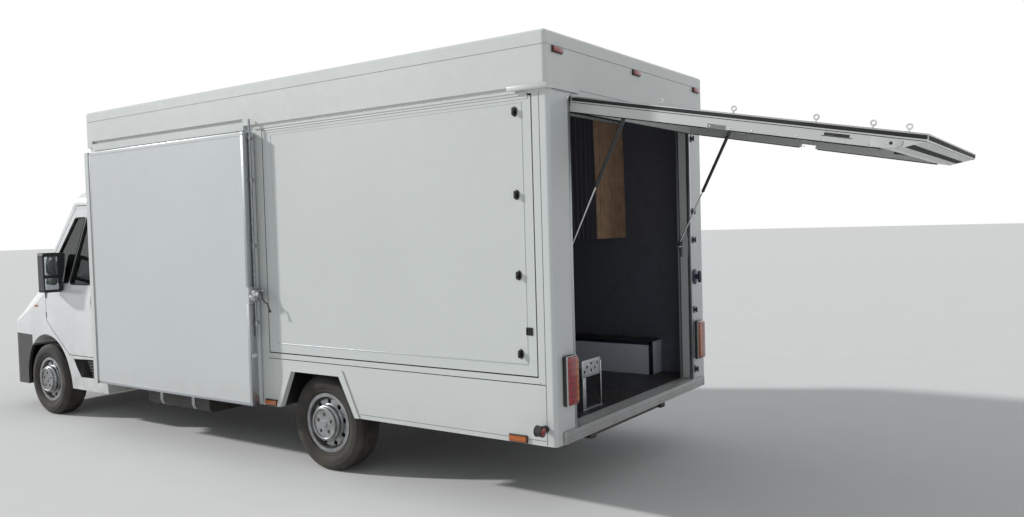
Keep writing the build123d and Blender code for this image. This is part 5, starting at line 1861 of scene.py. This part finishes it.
@dataclass
class Cockpit(Assembly):
    """Vents, dials, radio face, levers and the horn pad."""

    column: Point = (-490.0, 405.0, 1200.0)
    tilt: float = 62.0

    @piece(Stock.plastic)
    def dash_vents(self) -> Obj:
        """Four air vents in the dashboard's face."""
        vent = cut(block(-808, 318, 1128, -692, 352, 1196, 5, 3), block(-798, 330, 1138, -702, 360, 1186))
        slats = row(block(-798, 332, 1142, -702, 346, 1145, 1.0), (0, 0, 10), 4)
        return spread(join([vent, slats]), X, (620, 880, 1490))

    @piece(Stock.gloss)
    def dash_controls(self) -> Obj:
        """Blank radio face with its two knobs and five keys, and the heater dials below."""
        keys = row(block(-42, 344, 1068, -32, 349, 1076, 1.0), (14, 0, 0), 5)
        return join([block(-90, 322, 1060, 90, 346, 1112, 3),
                     *(turned([(0, 12), (12, 11), (14, 8)], (x, 344, 1086), Y, 24) for x in (-72, 72)), keys,
                     *(turned([(0, 20), (14, 18), (16, 14)], (x, 318, 1000), (0, 1, -0.1), 28) for x in (-60, 0, 60))])

    @piece(Stock.plastic)
    def dial_hood(self) -> Obj:
        """Hood over the dials."""
        x = self.column[0]
        outer = rounded([(x - 170, 1236), (x + 170, 1236), (x + 150, 1318), (x - 150, 1318)], 46, 6)
        inner = rounded([(x - 156, 1240), (x + 156, 1240), (x + 138, 1306), (x - 138, 1306)], 42, 6)
        return cut(prism(outer, "y", 190, 316, 5), prism(inner, "y", 262, 330))

    @piece(Stock.rod)
    def dial_rims(self) -> Obj:
        """Rims of the two large and two small dials."""
        return join([hoop(r - 3, r, 0, 5, (self.column[0] + dx, 261, 1272), Y)
                     for dx, r in ((-88, 30), (88, 30), (-20, 20), (30, 20))])

    @piece(Stock.trim, body="steering_wheel")
    def horn_pad(self) -> Obj:
        """Soft horn pad on the wheel's hub."""
        line = Vector((0, math.sin(math.radians(self.tilt)), math.cos(math.radians(self.tilt))))
        pad = [(0, 58), (8, 60), (18, 54), (26, 36), (29, 0)]
        return turned(pad, tuple(Vector(self.column) - line * 8), tuple(line), 40)

    @piece(Stock.plastic)
    def column_stalks(self) -> Obj:
        """Two stalks behind the wheel."""
        x, y, z = self.column
        line = ((30, -78, -44), (120, -70, -30), (165, -62, -26))
        return join([tube([(x + s * dx, y + dy, z + dz) for dx, dy, dz in line], 7.0) for s in (-1, 1)])

    @piece(Stock.plastic)
    def gear_lever(self) -> Obj:
        """Gear lever in its gaiter on the dashboard's console."""
        x = -190
        boot = [(0, 46), (12, 40), (20, 42), (30, 30), (38, 32), (50, 18)]
        knob = [(0, 12), (14, 22), (34, 24), (46, 16), (50, 0)]
        return join([turned(boot, (x, 330, 1010), (0, 0.8, 0.6), 28),
                     tube([(x, 350, 1030), (x, 400, 1075)], 7.0, straight=True),
                     turned(knob, (x, 394, 1068), (0, 0.75, 0.66), 24)])


@dataclass
class RunningGear(Assembly):
    """Coil springs, dampers, spring bolts, tank straps and pipe clamps under the floor."""

    axle_y: float = 3800.0
    leg_x: float = 722.0
    coil_radius: float = 30.0
    coil_turns: float = 5.5
    pipe: Flat = (-250.0, 300.0)

    @piece(Stock.strut, Copies.BOTH)
    def front_coil_springs(self) -> Obj:
        """Both front coil springs, wound in twelfths of a turn."""
        line, steps = [], round(self.coil_turns * 12)
        for i in range(steps + 1):
            swing = Vector((math.cos(math.tau * i / 12), math.sin(math.tau * i / 12))) * self.coil_radius
            line.append((self.leg_x + swing.x, swing.y, 556 + 138 * i / steps))
        return tube(line, 4.6, fine=2)

    @piece(Stock.rubber, Copies.BOTH)
    def spring_seats(self) -> Obj:
        """Lower spring seats and the rubber bump sleeves."""
        seat = [(0, 20.5), (0, 30), (5, 37), (9, 37), (5, 28), (5, 20.5)]
        sleeve = [(0, 20.5), (0, 23), (14, 25), (26, 22.5), (38, 25), (52, 22.5), (64, 24.5), (64, 20.5)]
        return join([turned(seat, (self.leg_x, 0, 540), Z, 32, ring=True),
                     turned(sleeve, (self.leg_x, 0, 630), Z, 28, ring=True)])

    @piece(Stock.iron, Copies.BOTH)
    def spring_u_bolts(self) -> Obj:
        """U-bolts that clamp each leaf spring to the axle."""
        y = self.axle_y - 52
        bar = ((463, 236), (463, 324), (470, 332), (530, 332), (537, 324), (537, 236))
        nuts = (turned([(0, 10), (9, 10)], (x, y, 238), (0, 0, -1), 6) for x in (463, 537))
        return row(join([tube([(x, y, z) for x, z in bar], 6.0, straight=True), *nuts]), (0, 104, 0), 1)

    @piece(Stock.strut, Copies.BOTH)
    def rear_dampers(self) -> Obj:
        """Rear dampers from the axle to the frame."""
        low, high = Vector((420, self.axle_y + 60, 286)), Vector((420, self.axle_y + 330, 396))
        way = (high - low).normalized()
        return join([turned([(0, 24), (150, 24), (156, 20)], tuple(low + way * 14), tuple(way), 24),
                     turned([(0, 8), (110, 8)], tuple(low + way * 165), tuple(way), 16),
                     *(turned([(-20, 18), (20, 18)], tuple(end), X, 24) for end in (low, high)),
                     *(turned([(0, 8), (52, 8)], tuple(end), X, 16) for end in (low, high))])

    @piece(Stock.zinc)
    def tank_straps(self) -> Obj:
        """Two straps under the fuel tank."""
        outer = [(556, 425), (556, 284), (572, 246), (608, 231), (852, 231), (888, 246), (904, 284), (904, 425)]
        inner = [(900.5, 425), (900.5, 285), (885, 249), (850, 234.5), (610, 234.5), (575, 249), (559.5, 285),
                 (559.5, 425)]
        return row(prism(outer + inner, "y", 1680, 1720), (0, 440, 0), 1)

    @piece(Stock.plastic)
    def tank_seam(self) -> Obj:
        """Tank's weld seam and its drain boss."""
        boss = [(0, 16), (8, 16), (8, 9), (14, 9)]
        return join([block(557.5, 1498, 318, 902.5, 2352, 324, 2.0), turned(boss, (700, 2240, 236), (0, 0, -1), 24)])

    @piece(Stock.pipe)
    def exhaust_clamps(self) -> Obj:
        """Clamps along the exhaust and the silencer's end seams."""
        x, z = self.pipe
        clamps = ((420, 32, 24), (1240, 32, 24), (2060, 34, 30), (2760, 34, 30))
        return join([*(hoop(26.5, r, 0, wide, (x, y, z), Y) for y, r, wide in clamps),
                     *(hoop(70, 75, 0, 9, (x, y, z), Y, 40) for y in (2148, 2693))])


def main() -> None:
    """Build the studio and every sub-assembly, and report each."""
    logging.basicConfig(level=logging.INFO, format="%(message)s")
    Studio().build()
    CadDress().build()
    for end in ("front", "rear"):
        for side in Side:
            RoadWheel(end, side).build()
    for kind in (ShopBody, TailLamps, Curtains, ServiceDoor, TailFlap, TailPortal, GasStruts, Interior, SmallLamps,
                 CabTrim):
        kind().build()
    CabSeat("driver_seat", (-740.0, -240.0), (-490.0,)).build("cab_seats")
    CabSeat("double_seat", (-120.0, 760.0), (90.0, 550.0)).build()
    Cockpit().build()
    RunningGear().build()


if __name__ == "__main__":
    main()
